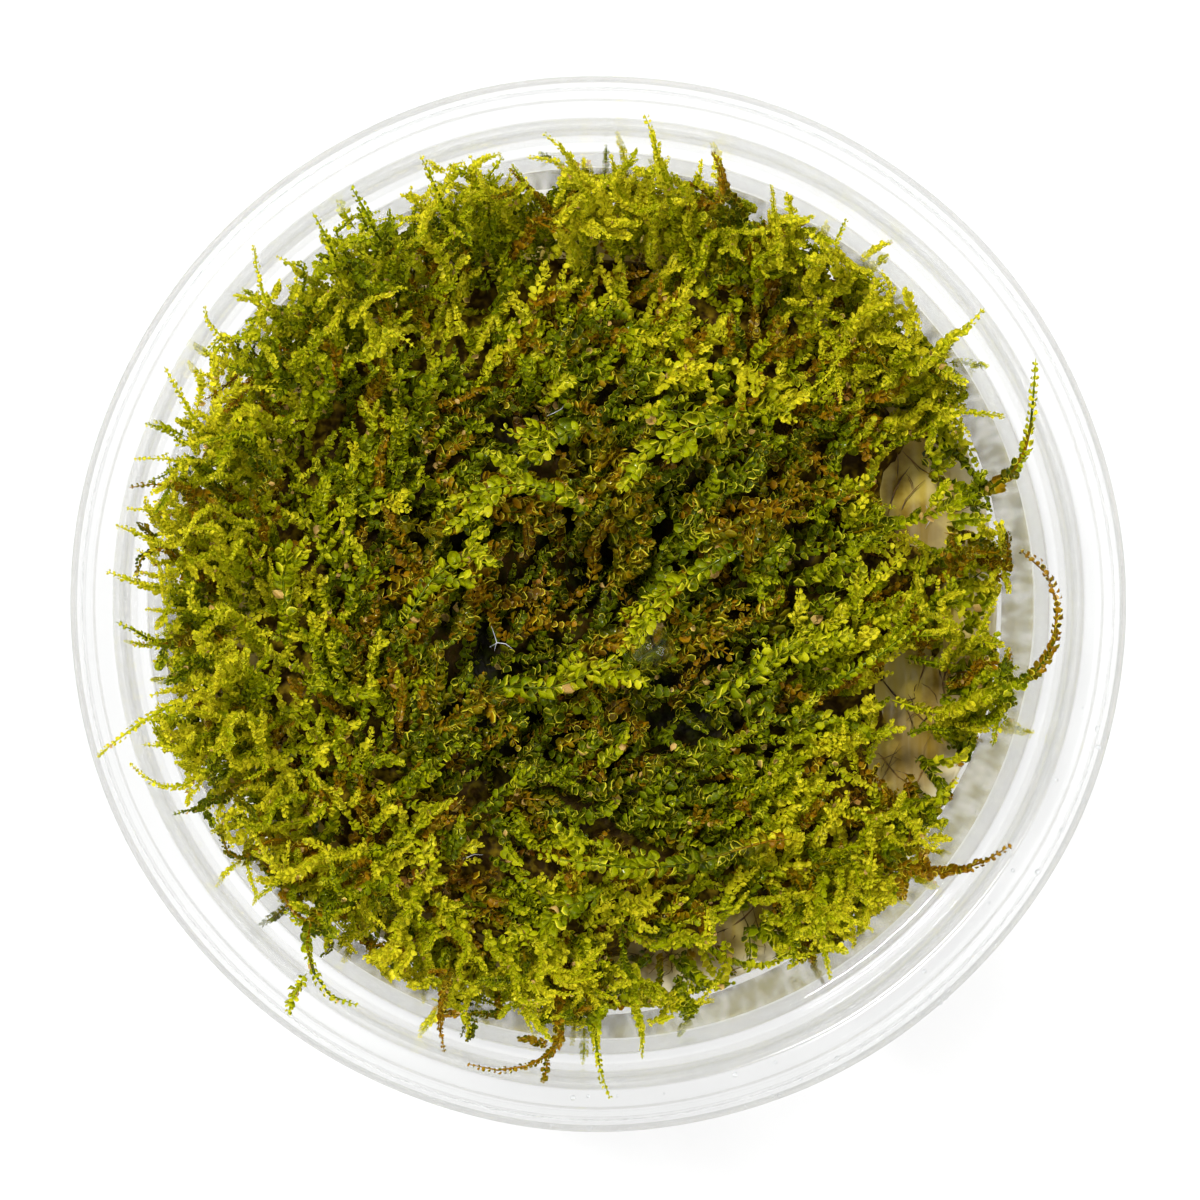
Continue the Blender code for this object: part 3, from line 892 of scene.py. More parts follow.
@dataclass
class Tangle:
    """The living part of the mat: hundreds of shoots in layers, lying as the tufts lie."""

    form: MatForm = field(default_factory=MatForm)
    cup: CupForm = field(default_factory=CupForm)
    zone_reach: float = 3.2
    tufts: int = 150
    tuft_reach: float = 34.0
    layers: tuple[Layer, ...] = (
        Layer(340, (4.6, 2.6), (5.0, 8.0), 0.74, 0.24, Detail.SMALL, 0.15, 1.0),
        Layer(460, (3.2, 0.7), (4.0, 7.5), 0.74, 0.09, Detail.SMALL, 0.35, 0.35),
    )
    wall_shoots: int = 230
    outer: tuple[float, float] = (12.0, 24.0)

    def __post_init__(self) -> None:
        """Starts one lot of foliage for each side."""
        self.foliage = {side: Foliage(40 + i) for i, side in enumerate(Side)}
        self.draw = np.random.default_rng(7)

    def nearby(self, x: float, y: float) -> tuple[float, float, float]:
        """Heading, leaf width and tone at a place: the zones' own, weighted by a bell of their distance."""
        weight = np.exp(-((ZONES[:, 0] - x) ** 2 + (ZONES[:, 1] - y) ** 2) / (2 * self.zone_reach**2)) + 1e-9
        weight = weight / weight.sum()
        turn = np.radians(ZONES[:, 2])
        way = math.degrees(math.atan2((weight * np.sin(turn)).sum(), (weight * np.cos(turn)).sum()))
        return way, float(weight @ ZONES[:, 3]), float(weight @ ZONES[:, 4])

    def scatter(self, index: int, count: int, reach: float, jitter: float) -> tuple[float, float]:
        """One of a number of places spread evenly over a disc on a golden-angle spiral, and moved a little."""
        out = reach * math.sqrt((index + 0.5) / count)
        turn = index * math.pi * (3 - math.sqrt(5))
        return out * math.cos(turn) + self.draw.normal(0, jitter), out * math.sin(turn) + self.draw.normal(0, jitter)

    def crosses_window(self, route: Array) -> bool:
        """Whether more than an eighth of a route lies where the gel shows."""
        off = (route[:, None, :2] - WINDOWS[:, :2]) / WINDOWS[:, 2:]
        return bool(((off**2).sum(-1) < 1).any(1).mean() > 0.125)

    def outward(self, x: float, y: float) -> float:
        """How far out a place is, from 0 in the middle to 1 near the wall, where the moss is finer and paler: partly
        fresher, and partly painted light for the light through the clear wall.
        """
        return float(np.clip((math.hypot(x, y) - self.outer[0]) / (self.outer[1] - self.outer[0]), 0, 1))

    def gap(self, x: float, y: float) -> float:
        """How far a place is into a dark gap, from 0 to 1."""
        away = np.hypot(GAPS[:, 0] - x, GAPS[:, 1] - y) / GAPS[:, 2]
        return float(np.exp(-(away**2)).max())

    def lying_route(self, x: float, y: float, way: float, length: float, depth: tuple[float, float]) -> Array:
        """A route that lies in the mat: its heading drifts, and its depth under the top changes evenly.

        Args:
            x: Place of its middle in plan.
            y: Place of its middle in plan.
            way: Heading in degrees.
            length: Its length in plan.
            depth: Depth under the mat's top at its root and at its tip; under zero is above it.

        Returns:
            The route's points.
        """
        share = np.linspace(0, 1, 10)
        bend = self.draw.normal(0, 34)
        sway = self.draw.uniform(6, 16) * np.sin(share * self.draw.uniform(5, 9) + self.draw.uniform(0, 6))
        turn = np.radians(way + bend * (share - 0.5) + sway)
        step = length / len(share)
        px, py = np.cumsum(np.cos(turn)) * step, np.cumsum(np.sin(turn)) * step
        px, py = px + x - px.mean(), py + y - py.mean()
        height = self.form.top(px, py) - spread(depth[0], depth[1], share**1.3)
        height = height + 0.25 * np.sin(share * 7 + bend)
        out = np.hypot(px, py)
        most = self.cup.wall_radius(np.clip(height, 18, 38)) - 0.7
        fit = np.minimum(1.0, most / np.maximum(out, 1e-6))
        return np.stack([px * fit, py * fit, np.maximum(height, 18.8)], -1)

    def plant(self, route: Array, shoot: Shoot) -> None:
        """Adds a shoot to the side that its middle is on."""
        x, y = route[len(route) // 2, :2]
        self.foliage[Side.of(x, y)].grow(shoot)

    def grow_tufts(self) -> None:
        """The upper shoots, tuft by tuft: fresh tufts lie higher, and those far out are finer and crowded."""
        draw = self.draw
        for i in range(self.tufts):
            x, y = self.scatter(i, self.tufts, self.tuft_reach, 0.7)
            if draw.random() < 1.1 * self.gap(x, y):
                continue
            way, leaf, tone = self.nearby(x, y)
            way, tone = way + draw.normal(0, 14), tone + draw.normal(0, 0.08)
            out = self.outward(x, y)
            for _ in range(round(5 + 3 * out)):
                px, py = x + draw.normal(0, 1.5), y + draw.normal(0, 1.5)
                lift = (tone - 0.5) * 2.6 + draw.uniform(-0.6, 0.7)
                length = draw.uniform(3.4, 7.6 - 2.2 * out)
                route = self.lying_route(px, py, way + draw.normal(0, 36), length, (2.4, 0.3 - lift))
                if self.crosses_window(route):
                    continue
                width = (0.8 - 0.22 * out) * leaf * draw.uniform(0.7, 1.2)
                # Tips are darker in the middle and paler far out: partly fresher growth, and partly painted shade in
                # the middle and painted light near the clear wall.
                tip = np.clip(tone - 0.19 + 0.46 * out + draw.normal(0, 0.09), 0.05, 0.97)
                root = tip - draw.uniform(0.12, 0.3) * (0.3 + 0.7 * out) if tone > 0.45 else tip - draw.uniform(-0.1, 0.1)
                if draw.random() < 0.05 + 0.12 * out:
                    root, tip = draw.uniform(0.2, 0.3) + 0.06 * out, draw.uniform(0.3, 0.4) + 0.04 * out
                detail = Detail.MIDDLE if out < 0.5 and tone > 0.6 else Detail.PLAIN
                self.plant(route, Shoot(route, width, (root, tip), Habit.PEARL, detail, 0.34 - 0.22 * out,
                                        draw.normal(0, 35), draw.integers(0, 2)))

    def grow_layers(self) -> None:
        """The shoots below the tufts, evenly scattered: plainer the deeper they lie, darker with painted shade the
        deeper they lie and in the dark gaps, and paler far out, partly as painted light.
        """
        draw = self.draw
        for layer in self.layers:
            for i in range(layer.count):
                x, y = self.scatter(i, layer.count, 31.4, 0.5)
                if draw.random() < self.gap(x, y) * (1 - layer.gap_share):
                    continue
                way, leaf, tone = self.nearby(x, y)
                sink = 2.2 * self.gap(x, y)
                depth = (layer.depth[0] + sink, layer.depth[1] + sink + draw.uniform(-0.3, 0.5))
                route = self.lying_route(x, y, way + draw.normal(0, 38), draw.uniform(*layer.length), depth)
                if self.crosses_window(route):
                    continue
                out = self.outward(x, y)
                # Painted shade darkens deeper layers and the dark gaps. Far out it fades and tones turn paler, partly
                # as painted light for the light through the clear wall.
                painted_darkening = layer.painted_darkening * (1 - 0.7 * out) - 0.36 * out + 0.2 * self.gap(x, y)
                tone = np.clip(tone - 0.1 - painted_darkening + draw.normal(0, 0.07), 0.56, 0.92)
                if draw.random() < 0.1 + 0.12 * out:
                    tone = draw.uniform(0.14, 0.28) + 0.14 * out * draw.random()
                width = (layer.leaf - 0.14 * out) * leaf * draw.uniform(0.85, 1.15)
                self.plant(route, Shoot(route, width, (tone - 0.03 - 0.1 * out, tone + 0.05), Habit.PEARL, layer.detail,
                                        layer.ringed, draw.normal(0, 40)))

    def grow_wall(self) -> None:
        """The shoots against the cup's wall, under the mat's top: they climb out to the wall and along it."""
        draw = self.draw
        for i in range(self.wall_shoots):
            turn = 2 * math.pi * (i / self.wall_shoots) + draw.normal(0, 0.02)
            rise = self.form.top(29.0 * math.cos(turn), 29.0 * math.sin(turn)) - 19.2
            low = 19.2 + rise * ((i * 0.618) % 1.0) * 0.85
            share = np.linspace(0, 1, 8)
            angle = turn + share * draw.normal(0, 0.12)
            height = low + share * draw.uniform(0.5, 4.5)
            height = np.minimum(height, 19.2 + rise + 1.0)
            radius = self.cup.wall_radius(height) - 0.9 - 3.2 * (1 - share) ** 2
            route = np.stack([radius * np.cos(angle), radius * np.sin(angle), height], -1)
            tone = np.clip(0.66 + 0.24 * (low - 19) / max(rise, 1) + draw.normal(0, 0.13), 0.2, 0.95)
            self.plant(route, Shoot(route, draw.uniform(0.62, 0.9), (tone - 0.15, tone), Habit.PEARL, Detail.SMALL, 0.15,
                                    draw.normal(0, 60)))

    def grow_fringe(self) -> None:
        """Short shoots round the edge that reach for the wall: each climbs and leans out, kept off the cup."""
        draw = self.draw
        for low, high, count in FRINGE:
            for _ in range(count):
                turn = math.radians(draw.uniform(low, high))
                start = draw.uniform(26.0, 30.5)
                x, y = start * math.cos(turn), start * math.sin(turn)
                way, leaf, tone = self.nearby(x, y)
                share = np.linspace(0, 1, 9)
                lean = (math.radians(way) - turn + math.pi) % (2 * math.pi) - math.pi
                side = np.clip(lean, -0.9, 0.9) * 0.6 + draw.normal(0, 0.4)
                ahead = draw.uniform(4.0, 7.5) * share
                bend = side + draw.normal(0, 0.55) * share + 0.25 * np.sin(share * 8 + side * 9)
                px = x + ahead * np.cos(turn + bend)
                py = y + ahead * np.sin(turn + bend)
                foot = self.form.top(np.array([x]), np.array([y]))[0]
                height = np.minimum(foot - 1.0 + draw.uniform(3.0, 13.0) * share**0.8, 46.5)
                out = np.hypot(px, py)
                most = np.where(height < 38.6, self.cup.wall_radius(np.minimum(height, 38.2)) - 0.6, 35.0)
                fit = np.minimum(1.0, most / out)
                route = np.stack([px * fit, py * fit, height], -1)
                if self.crosses_window(route):
                    continue
                tip = np.clip(0.3 * tone + draw.normal(0.73, 0.08), 0.5, 0.97)
                root = tip - draw.uniform(0.02, 0.2)
                if draw.random() < 0.16:
                    root, tip = draw.uniform(0.22, 0.36), draw.uniform(0.34, 0.9)
                self.plant(route, Shoot(route, draw.uniform(0.38, 0.62), (root, tip), Habit.SLENDER, Detail.SMALL, 0.15,
                                        0.0, draw.integers(0, 3)))

    def build(self, finish: bpy.types.Material) -> None:
        """Grows every layer and makes a piece for each side."""
        self.grow_layers()
        self.grow_wall()
        self.grow_tufts()
        self.grow_fringe()
        for side, foliage in self.foliage.items():
            foliage.piece(f"moss_tangle_{side.value}", finish, "matted_moss")


@dataclass
class OldMoss:
    """The dark body under the living shoots: old growth pressed together down to the gel."""

    form: MatForm = field(default_factory=MatForm)
    rows: int = 44
    sectors: int = 132
    depth: float = 5.0
    inset: float = 2.2
    foot: float = 17.2

    def build(self, finish: bpy.types.Material) -> None:
        """A closed polar grid: the mat's top let down and roughened, sunk under the gel in the windows."""
        share = np.linspace(0, 1, self.rows + 1)[1:, None]
        angle = np.arange(self.sectors) * 2 * math.pi / self.sectors
        out = (self.form.edge(angle) - self.inset) * share
        x, y = out * np.cos(angle), out * np.sin(angle)
        rough = 0.35 * np.sin(x * 2.3 + np.cos(y * 1.7) * 2) * np.sin(y * 2.1 + x) + 0.25 * np.sin(5.1 * x + 3 * y)
        z = self.form.top(x, y) - self.depth + rough
        for wx, wy, rx, ry in WINDOWS:
            away = ((x - wx) / (rx + 0.5)) ** 2 + ((y - wy) / (ry + 0.5)) ** 2
            z = np.where(away < 1.6, self.foot + (z - self.foot) * np.clip(away - 0.75, 0, 0.85) / 0.85, z)
        z = np.maximum(z, self.foot + 0.05)
        z[-1] = self.foot + 0.05
        ring = np.stack([x, y, z], -1).reshape(-1, 3)
        poles = np.array([[0, 0, z[0].mean()], [0, 0, self.foot]])
        low = np.stack([x[-1], y[-1], np.full(self.sectors, self.foot)], -1)
        count = self.rows * self.sectors
        points = np.vstack([ring, low, poles])
        faces = [
            grid_faces(self.rows + 1, self.sectors)[:, ::-1],
            fan_faces(count + self.sectors, 0, self.sectors),
            fan_faces(count + self.sectors + 1, count, self.sectors, flip=True),
        ]
        make_piece("matted_old_moss", points, np.vstack(faces), finish, stands_for=("moss_mat",))


# --------------------------------------------------------------------------- single shoots


@dataclass(frozen=True)
class SingleLook:
    """How the single shoots of one side look."""

    habit: Habit
    leaf: float
    tones: tuple[float, ...]


SIDES = {
    "left": SingleLook(Habit.SLENDER, 0.46, (0.72, 0.95)),
    "top": SingleLook(Habit.SLENDER, 0.48, (0.66, 0.93)),
    "right": SingleLook(Habit.SLENDER, 0.52, (0.72, 0.93)),
    "bottom": SingleLook(Habit.SLENDER, 0.5, (0.64, 0.9)),
    "middle": SingleLook(Habit.PEARL, 0.9, (0.66, 0.84)),
}

# Shoots whose look differs from their side's: their tones from root to tip.
ODD_TONES = {
    "left_shoot_01": (0.84, 0.78, 0.34, 0.86, 0.95), "left_shoot_04": (0.4, 0.66),
    "left_shoot_05": (0.8, 0.84, 0.34, 0.8), "left_shoot_07": (0.8, 0.36, 0.86, 0.95),
    "left_shoot_11": (0.3, 0.42), "left_shoot_12": (0.36, 0.8, 0.95), "left_shoot_13": (0.84, 0.36, 0.8, 0.95),
    "left_shoot_14": (0.24, 0.34), "top_shoot_04": (0.7, 0.34, 0.86), "top_shoot_05": (0.34, 0.4, 0.8),
    "top_shoot_06": (0.7, 0.36, 0.9), "top_shoot_08": (0.26, 0.44), "top_shoot_12": (0.8, 0.7, 0.34),
    "right_shoot_03": (0.44, 0.7, 0.9, 0.34, 0.9), "right_shoot_04": (0.9, 0.92, 0.9, 0.84, 0.76, 0.36, 0.3),
    "right_shoot_06": (0.66, 0.8), "bottom_shoot_01": (0.8, 0.84, 0.36, 0.34),
    "bottom_shoot_04": (0.8, 0.36, 0.9), "bottom_shoot_05": (0.34, 0.42), "bottom_shoot_07": (0.7, 0.3),
    "bottom_shoot_08": (0.8, 0.86, 0.36, 0.84), "middle_shoot_01": (0.36, 0.66, 0.82),
}


@dataclass
class SingleShoots:
    """The shoots that stand out of the mat, each with its leaves, on the line of its solid."""

    order: int = 5
    points: int = 18

    def line(self, node: bpy.types.Object) -> tuple[Array, float]:
        """A solid's middle line and half width.

        The two points farthest apart over its surface are its ends. A vertex's place along it is the
        difference of its distances from them, and a polynomial of that place is fitted to the vertices.

        Args:
            node: The solid's object.

        Returns:
            Points from the wider end to the narrower in millimetres, and the half width.
        """
        mesh = node.data
        raw = np.zeros(len(mesh.vertices) * 3)
        mesh.vertices.foreach_get("co", raw)
        corners = np.zeros(len(mesh.loops), int)
        mesh.loops.foreach_get("vertex_index", corners)
        spots, same = np.unique(np.round(raw.reshape(-1, 3) / MM, 3), axis=0, return_inverse=True)
        faces = same.ravel()[corners].reshape(-1, 3)
        far = np.full((len(spots), len(spots)), 1e6)
        np.fill_diagonal(far, 0.0)
        for a, b in ((0, 1), (1, 2), (2, 0)):
            gap = np.linalg.norm(spots[faces[:, a]] - spots[faces[:, b]], axis=1)
            far[faces[:, a], faces[:, b]] = far[faces[:, b], faces[:, a]] = gap
        for k in range(len(spots)):
            far = np.minimum(far, far[:, k : k + 1] + far[k : k + 1])
        first, last = np.unravel_index(np.argmax(far), far.shape)
        place = np.clip((far[first] - far[last] + far[first, last]) / (2 * far[first, last]), 0, 1)
        fits = [np.polynomial.Polynomial.fit(place, axis, self.order, domain=(0, 1)) for axis in spots.T]
        off = np.linalg.norm(spots - np.stack([fit(place) for fit in fits], -1), axis=1)
        steps = np.linspace(0.02, 0.98, self.points)
        line = np.stack([fit(steps) for fit in fits], -1)
        if off[place < 0.12].mean() < off[place > 0.88].mean():
            line = line[::-1]
        return line, float(np.percentile(off, 90))

    def build(self, finish: bpy.types.Material) -> None:
        """Makes one leafy piece for each solid shoot."""
        names = sorted(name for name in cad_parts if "_shoot_" in name)
        for number, name in enumerate(names):
            route, half = self.line(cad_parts[name])
            look = SIDES[name.split("_")[0]]
            tones = ODD_TONES.get(name, look.tones)
            lying = look.habit is Habit.PEARL
            if not lying:
                route = route if route[0, 2] < route[-1, 2] else route[::-1]
                inward = route[0] * (0.88, 0.88, 1.0) - (0.0, 0.0, 2.0)
                route = np.vstack([inward, 0.5 * (inward + route[0]) - (0, 0, 0.3), route])
            foliage = Foliage(900 + number)
            leaf = look.leaf * min(1.3, (half / 0.8) ** 0.6)
            foliage.grow(Shoot(route, leaf, tones, look.habit, Detail.FINE if lying else Detail.PLAIN, 0.25, 0.0, 3))
            foliage.piece(f"{name}_leaves", finish, "moss_shoot", (name,))


# --------------------------------------------------------------------------- cup, gel and water


@dataclass
class CultureCup:
    """The clear cup: a tapered bowl, a shoulder, an upright lid seat, and a rim with a skirt."""

    form: CupForm = field(default_factory=CupForm)
    steps: int = 288
    rim_fall: float = 0.4
    rim_step: float = 1.7
    corner: float = 0.6

    def outline(self) -> Array:
        """The cup's outline from the middle of its floor over the rim to the middle of its underside."""
        c = self.form
        outer = c.height - self.rim_fall
        return np.array((
            (0.0, c.floor), (c.floor_radius - 1.2, c.floor), (c.floor_radius, c.floor + 1.2),
            (c.shoulder_radius, c.shoulder_height - 0.5), (c.shoulder_radius + 0.4, c.shoulder_height),
            (c.seat_radius - 0.5, c.shoulder_height + 0.1), (c.seat_radius, c.height - 0.9), (c.seat_radius + 0.5, c.height),
            (c.rim_radius - self.rim_step - 0.4, c.height), (c.rim_radius - self.rim_step, outer),
            (c.rim_radius - self.corner, outer), (c.rim_radius, outer - self.corner), (c.rim_radius, c.height - c.skirt),
            (c.rim_radius - c.wall, c.height - c.skirt), (c.rim_radius - c.wall, outer - self.corner - c.wall / 2),
            (c.seat_radius + c.wall, c.height - 1.2), (c.seat_radius - 0.5 + c.wall, c.shoulder_height - c.wall),
            (c.shoulder_radius + c.wall + 0.2, c.shoulder_height - c.wall), (c.floor_radius + c.wall, c.floor + 0.4),
            (c.floor_radius - 0.6, 0.0), (0.0, 0.0),
        ))

    def build(self, finish: bpy.types.Material) -> None:
        """Turns the rounded outline, and lets the thin wall wander a little, as in a moulded cup.

        The radius gains slow waves round the cup that fade to nothing at the foot, and the rim's top has
        shallow dents.
        """
        points, faces = revolve(rounded(self.outline(), 0.35, 4), self.steps)
        turn = np.arctan2(points[:, 1], points[:, 0])
        up = np.clip(points[:, 2] / self.form.height, 0, 1)
        out = np.hypot(points[:, 0], points[:, 1])
        wander = 0.05 * np.sin(5 * turn + 3 * up) + 0.03 * np.sin(11 * turn - 6 * up)
        gain = 1 + up**2 * wander / np.maximum(out, 1.0)
        points[:, :2] *= gain[:, None]
        top = np.clip((points[:, 2] - 44.5) / 1.5, 0, 1)
        points[:, 2] -= top * 0.06 * (1 + np.sin(9 * turn + 1.0) * np.sin(4 * turn))
        make_piece("clear_cup", points, faces, finish, stands_for=("culture_cup",))


@dataclass
class NutrientGel:
    """The set gel: a disc that fills the bottom of the cup, gently uneven on top, with a climbing edge."""

    form: CupForm = field(default_factory=CupForm)
    top: float = 18.0
    gap: float = 0.15
    steps: int = 160

    def build(self, finish: bpy.types.Material) -> None:
        """Turns the gel's outline with many rings on top, then lifts and lowers the top by slow waves."""
        side = self.form.wall_radius(self.top) - self.gap
        low = self.form.floor + 0.25
        rings = np.linspace(0.0, side - 0.9, 34)
        outline = np.vstack([
            np.stack([rings, np.full(len(rings), self.top)], -1),
            ((side - 0.4, self.top + 0.12), (side, self.top + 0.3), (side - 0.01, self.top - 0.3),
             (self.form.floor_radius - self.gap, low + 1.2), (self.form.floor_radius - 1.3, low), (0.0, low)),
        ])
        points, faces = revolve(outline, self.steps)
        x, y, z = points.T
        up = np.clip((z - self.top + 0.5) / 0.5, 0, 1)
        points[:, 2] += up * (0.16 * np.sin(x / 2.2) * np.cos(y / 1.7) + 0.09 * np.sin(x * 1.3 + y) - 0.1)
        make_piece("set_gel", points, faces, finish, stands_for=("nutrient_gel",))


@dataclass
class WallFilm:
    """The wet stained film on the inside of the cup's wall, from the moss up to the shoulder."""

    form: CupForm = field(default_factory=CupForm)
    mat: MatForm = field(default_factory=MatForm)
    under: float = 1.5
    high: float = 37.4
    gap: float = 0.05
    thickness: float = 0.04
    rows: int = 8
    steps: int = 120

    def build(self, finish: bpy.types.Material) -> None:
        """A closed thin ring: it goes up the wall from under the moss's top and back down, a little further in."""
        angle = np.arange(self.steps) * 2 * math.pi / self.steps
        low = self.mat.top(self.mat.radius * np.cos(angle), self.mat.radius * np.sin(angle)) - self.under
        height = low + np.linspace(0, 1, self.rows)[:, None] * (self.high - low)
        outer = self.form.wall_radius(height) - self.gap
        radius = np.concatenate([outer, outer[::-1] - self.thickness])
        level = np.concatenate([height, height[::-1]])
        ring = np.stack([radius * np.cos(angle), radius * np.sin(angle), level], -1).reshape(-1, 3)
        faces = grid_faces(len(radius), self.steps)
        seam = grid_faces(2, self.steps)
        last = (len(radius) - 1) * self.steps
        faces = np.vstack([faces, np.where(seam < self.steps, seam + last, seam - self.steps)])
        make_piece("wall_film", ring, faces, finish)


@dataclass
class Water:
    """Beads of condensed water on the cup's wall and shoulder, and one large bubble held in the moss."""

    form: CupForm = field(default_factory=CupForm)
    wall_beads: int = 70
    sectors: int = 9
    rows: int = 4

    def beads(self, middle: Array, out: Array, radius: Array, height: Array) -> tuple[Array, Array]:
        """Flattened half balls on a surface, closed by a flat back.

        Args:
            middle: Where each bead sits.
            out: The surface's direction there.
            radius: Radii.
            height: Heights over the surface.

        Returns:
            Vertices and triangles.
        """
        lean = np.linspace(0, math.pi / 2, self.rows)[1:]
        turn = np.arange(self.sectors) * 2 * math.pi / self.sectors
        reach = np.concatenate([[0.0], np.repeat(np.sin(lean), self.sectors), [0.0]])
        lift = np.concatenate([[1.0], np.repeat(np.cos(lean), self.sectors), [0.0]])
        turn = np.concatenate([[0.0], np.tile(turn, self.rows - 1), [0.0]])
        side = unit(np.cross(out, np.array([0.31, 0.17, 0.93])))
        along = np.cross(out, side)
        points = (
            middle[:, None]
            + (radius[:, None] * reach * np.cos(turn))[..., None] * side[:, None]
            + (radius[:, None] * reach * np.sin(turn))[..., None] * along[:, None]
            + (height[:, None] * lift)[..., None] * out[:, None]
        )
        last = (self.rows - 2) * self.sectors
        one = np.vstack([
            fan_faces(0, 1, self.sectors), grid_faces(self.rows - 1, self.sectors)[:, ::-1] + 1,
            fan_faces(last + self.sectors + 1, 1 + last, self.sectors, flip=True),
        ])
        starts = np.arange(len(middle)) * len(reach)
        return points.reshape(-1, 3), (starts[:, None, None] + one).reshape(-1, 3)

    def build(self, finish: bpy.types.Material) -> None:
        """Scatters beads in patches on the wall's free part, on the shoulder and on the rim, and makes them."""
        draw = np.random.default_rng(21)
        patches = np.radians(np.array([95.0, 118.0, 160.0, 205.0, 238.0, 300.0, 330.0, 345.0, 20.0]))
        turn = draw.choice(patches, self.wall_beads) + draw.normal(0, 0.16, self.wall_beads)
        height = draw.uniform(30.0, 37.0, self.wall_beads)
        slope = math.atan2(self.form.shoulder_radius - self.form.floor_radius, self.form.shoulder_height - self.form.floor)
        level = np.stack([np.cos(turn), np.sin(turn), 0 * turn], -1)
        middle = level * (self.form.wall_radius(height) - 0.02)[:, None] + height[:, None] * np.array([0, 0, 1.0])
        out = -level * math.cos(slope) + np.array([0, 0, math.sin(slope)])
        radius = 0.09 + 0.18 * draw.random(self.wall_beads) ** 2.5
        rim_turn = draw.uniform(4.6, 6.1, 46)
        rim_out = draw.choice((37.2, 39.0, 39.6), 46) + draw.normal(0, 0.12, 46)
        rim = np.stack([rim_out * np.cos(rim_turn), rim_out * np.sin(rim_turn),
                        np.where(rim_out < 38, 45.93, 45.55)], -1)
        rim_radius = draw.uniform(0.08, 0.24, 46)
        middle = np.vstack([middle, rim])
        out = np.vstack([out, np.tile((0.0, 0.0, 1.0), (46, 1))])
        radius = np.concatenate([radius, rim_radius])
        points, faces = self.beads(middle, out, radius, radius * 0.6)
        make_piece("water_beads", points, faces, finish)
        top = MatForm().top(np.array([4.4]), np.array([-3.6]))[0]
        points, faces = self.beads(np.array([[4.4, -3.6, top - 0.4]]), np.array([[0.0, 0.0, 1.0]]),
                                   np.array([1.75]), np.array([1.1]))
        make_piece("water_bubble", points, faces, finish)


@dataclass
class RootHairs:
    """Threads in the gel and on it: brown branching roots in the windows, and a few pale dead fibres."""

    top: float = 18.05
    roots_a_window: int = 5

    def thread(self, foliage: Foliage, start: Array, way: float, length: float, radius: float) -> Array:
        """Adds a thread that wanders over the gel.

        Args:
            foliage: Where it goes.
            start: Its first point.
            way: Heading in radians.
            length: Its length.
            radius: Its half width.

        Returns:
            Its points.
        """
        draw = foliage.draw
        steps = 14
        turn = way + np.cumsum(draw.normal(0, 0.2, steps))
        plan = start[:2] + np.cumsum(np.stack([np.cos(turn), np.sin(turn)], -1), axis=0) * length / steps
        out = np.hypot(plan[:, 0], plan[:, 1])
        plan = plan * np.minimum(1.0, 31.6 / np.maximum(out, 1e-6))[:, None]
        height = start[2] + 0.12 * np.sin(np.arange(steps) * 0.9 + way)
        route = np.column_stack([plan, height])
        foliage.add_stem(route, radius, (0.2,))
        return route

    def build(self, dark: bpy.types.Material, pale: bpy.types.Material) -> None:
        """Makes the roots, then the pale fibres."""
        roots = Foliage(61)
        for x, y, rx, ry in WINDOWS:
            for _ in range(self.roots_a_window):
                turn = roots.draw.uniform(0, 2 * math.pi)
                start = np.array([x + 1.1 * rx * math.cos(turn), y + 1.1 * ry * math.sin(turn), self.top])
                inward = turn + math.pi + roots.draw.normal(0, 0.6)
                radius = 0.025 + 0.075 * roots.draw.random() ** 2
                route = self.thread(roots, start, inward, roots.draw.uniform(2.5, 5.5), radius)
                for _ in range(2):
                    knot = route[roots.draw.integers(3, 10)]
                    self.thread(roots, knot, inward + roots.draw.normal(0, 0.9), roots.draw.uniform(1.0, 2.6), radius * 0.6)
        roots.piece("root_hairs", dark, "matted_moss")
        fibres = Foliage(62)
        for x, y, way in ((-8.6, -3.6, 1.2), (-8.2, -3.9, 1.3), (-4.2, 14.6, 0.4), (-11.0, -20.6, 0.5), (12.6, 3.4, 2.2), (26.4, 8.0, -1.0)):
            height = float(MatForm().top(np.array([x]), np.array([y]))[0]) - 2.0
            height = self.top + 0.2 if x > 25 else height
            self.thread(fibres, np.array([x, y, height]), way, 2.2, 0.035)
        fibres.piece("pale_fibres", pale, "matted_moss")


# --------------------------------------------------------------------------- studio


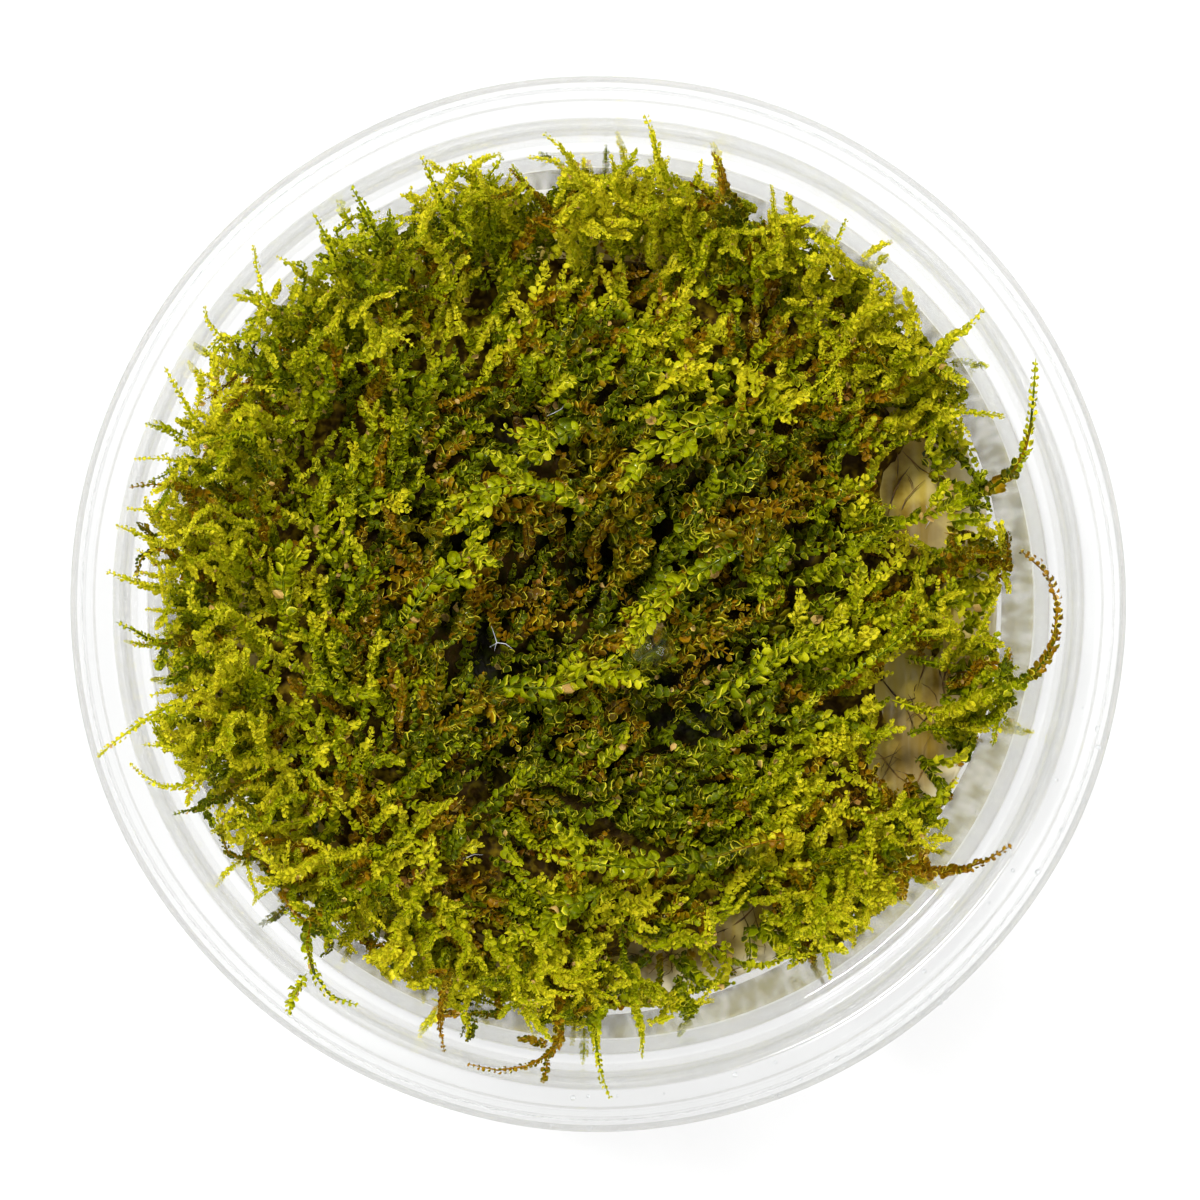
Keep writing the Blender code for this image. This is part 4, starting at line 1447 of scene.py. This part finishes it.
@dataclass
class Studio:
    """A pale floor, soft lights, and a camera straight above the cup."""

    rim_height: float = 46.0
    distance: float = 400.0
    seen: float = 90.6
    off_middle: tuple[float, float] = (0.15, 0.23)

    def floor(self) -> None:
        """A wide pale floor just under the cup."""
        graph = Graph("Pale floor")
        _, patchy = graph.mottle(graph.place(), 30.0, 0.0)
        shade = graph.ramp(patchy, ((0.0, (0.17, 0.17, 0.17)), (1.0, (0.19, 0.19, 0.19))))
        skin = graph.add("BsdfPrincipled", {"Base Color": shade, "Roughness": 0.9})
        skin.inputs["Emission Color"].default_value = (1.0, 1.0, 1.0, 1.0)
        skin.inputs["Emission Strength"].default_value = 0.71
        mesh = bpy.data.meshes.new("floor")
        reach, low = 1.5, -0.00005
        mesh.from_pydata([(-reach, -reach, low), (reach, -reach, low), (reach, reach, low), (-reach, reach, low)],
                         [], [(0, 1, 2, 3)])
        mesh.materials.append(graph.finish(skin.outputs[0]))
        made = bpy.data.objects.new("floor", mesh)
        bpy.context.scene.collection.objects.link(made)

    def light(self, name: str, place: tuple[float, float, float], size: float, power: float) -> None:
        """A square soft light that faces the middle of the cup."""
        lamp = bpy.data.lights.new(name, "AREA")
        lamp.size = size
        lamp.energy = power
        made = bpy.data.objects.new(name, lamp)
        bpy.context.scene.collection.objects.link(made)
        away = np.array(place) - (0.0, 0.0, 0.03)
        made.location = place
        made.rotation_euler = (math.acos(away[2] / np.linalg.norm(away)), 0.0, math.atan2(away[1], away[0]) + math.pi / 2)

    def surroundings(self) -> None:
        """White all round as the camera sees it, and dimmer as the moss is lit by it."""
        world = bpy.data.worlds.new("Studio")
        world.use_nodes = True
        nodes, links = world.node_tree.nodes, world.node_tree.links
        back = nodes["Background"]
        back.inputs["Color"].default_value = (1.0, 1.0, 1.0, 1.0)
        path = nodes.new("ShaderNodeLightPath")
        strength = nodes.new("ShaderNodeMapRange")
        strength.inputs["To Min"].default_value = 0.55
        strength.inputs["To Max"].default_value = 1.0
        links.new(path.outputs["Is Camera Ray"], strength.inputs["Value"])
        links.new(strength.outputs[0], back.inputs["Strength"])
        bpy.context.scene.world = world

    def camera(self) -> None:
        """A long lens straight above, with +Y up in the picture."""
        lens = bpy.data.cameras.new("camera")
        lens.sensor_width = 36.0
        lens.lens = lens.sensor_width * self.distance / self.seen
        lens.dof.use_dof = False
        made = bpy.data.objects.new("camera", lens)
        made.location = (self.off_middle[0] * MM, self.off_middle[1] * MM, (self.rim_height + self.distance) * MM)
        bpy.context.scene.collection.objects.link(made)
        bpy.context.scene.camera = made

    def build(self) -> None:
        """Sets everything up, and shows colours as they are."""
        self.floor()
        self.surroundings()
        self.light("key", (-0.2, 0.24, 0.64), 0.12, 7.8)
        self.light("fill", (0.34, -0.12, 0.6), 0.4, 3.6)
        self.camera()
        bpy.context.scene.view_settings.view_transform = "Standard"
        bpy.context.scene.cycles.max_bounces = 8
        bpy.context.scene.cycles.diffuse_bounces = 3


def main() -> None:
    """Builds the part's looks, then the studio round it."""
    logging.basicConfig(level=logging.INFO, format="%(name)s: %(message)s")
    moss = MossFinish().build()
    CultureCup().build(ClearFinish("Clear plastic", (0.945, 0.948, 0.946), 0.03, 1.49, 70.0, 0.6, 0.00003, 0.0455, 0.16).build())
    NutrientGel().build(GelFinish().build())
    OldMoss().build(MattedFinish().build())
    Tangle().build(moss)
    SingleShoots().build(moss)
    WallFilm().build(FilmFinish().build())
    Water().build(ClearFinish("Water", (0.99, 0.995, 1.0), 0.01, 1.33, 200.0, 0.55).build())
    RootHairs().build(
        ThreadFinish("Root hairs", srgb(60, 40, 8), srgb(116, 86, 34)).build(),
        ThreadFinish("Pale fibres", srgb(140, 140, 146), srgb(190, 190, 198)).build(),
    )
    Studio().build()


if __name__ == "__main__":
    main()
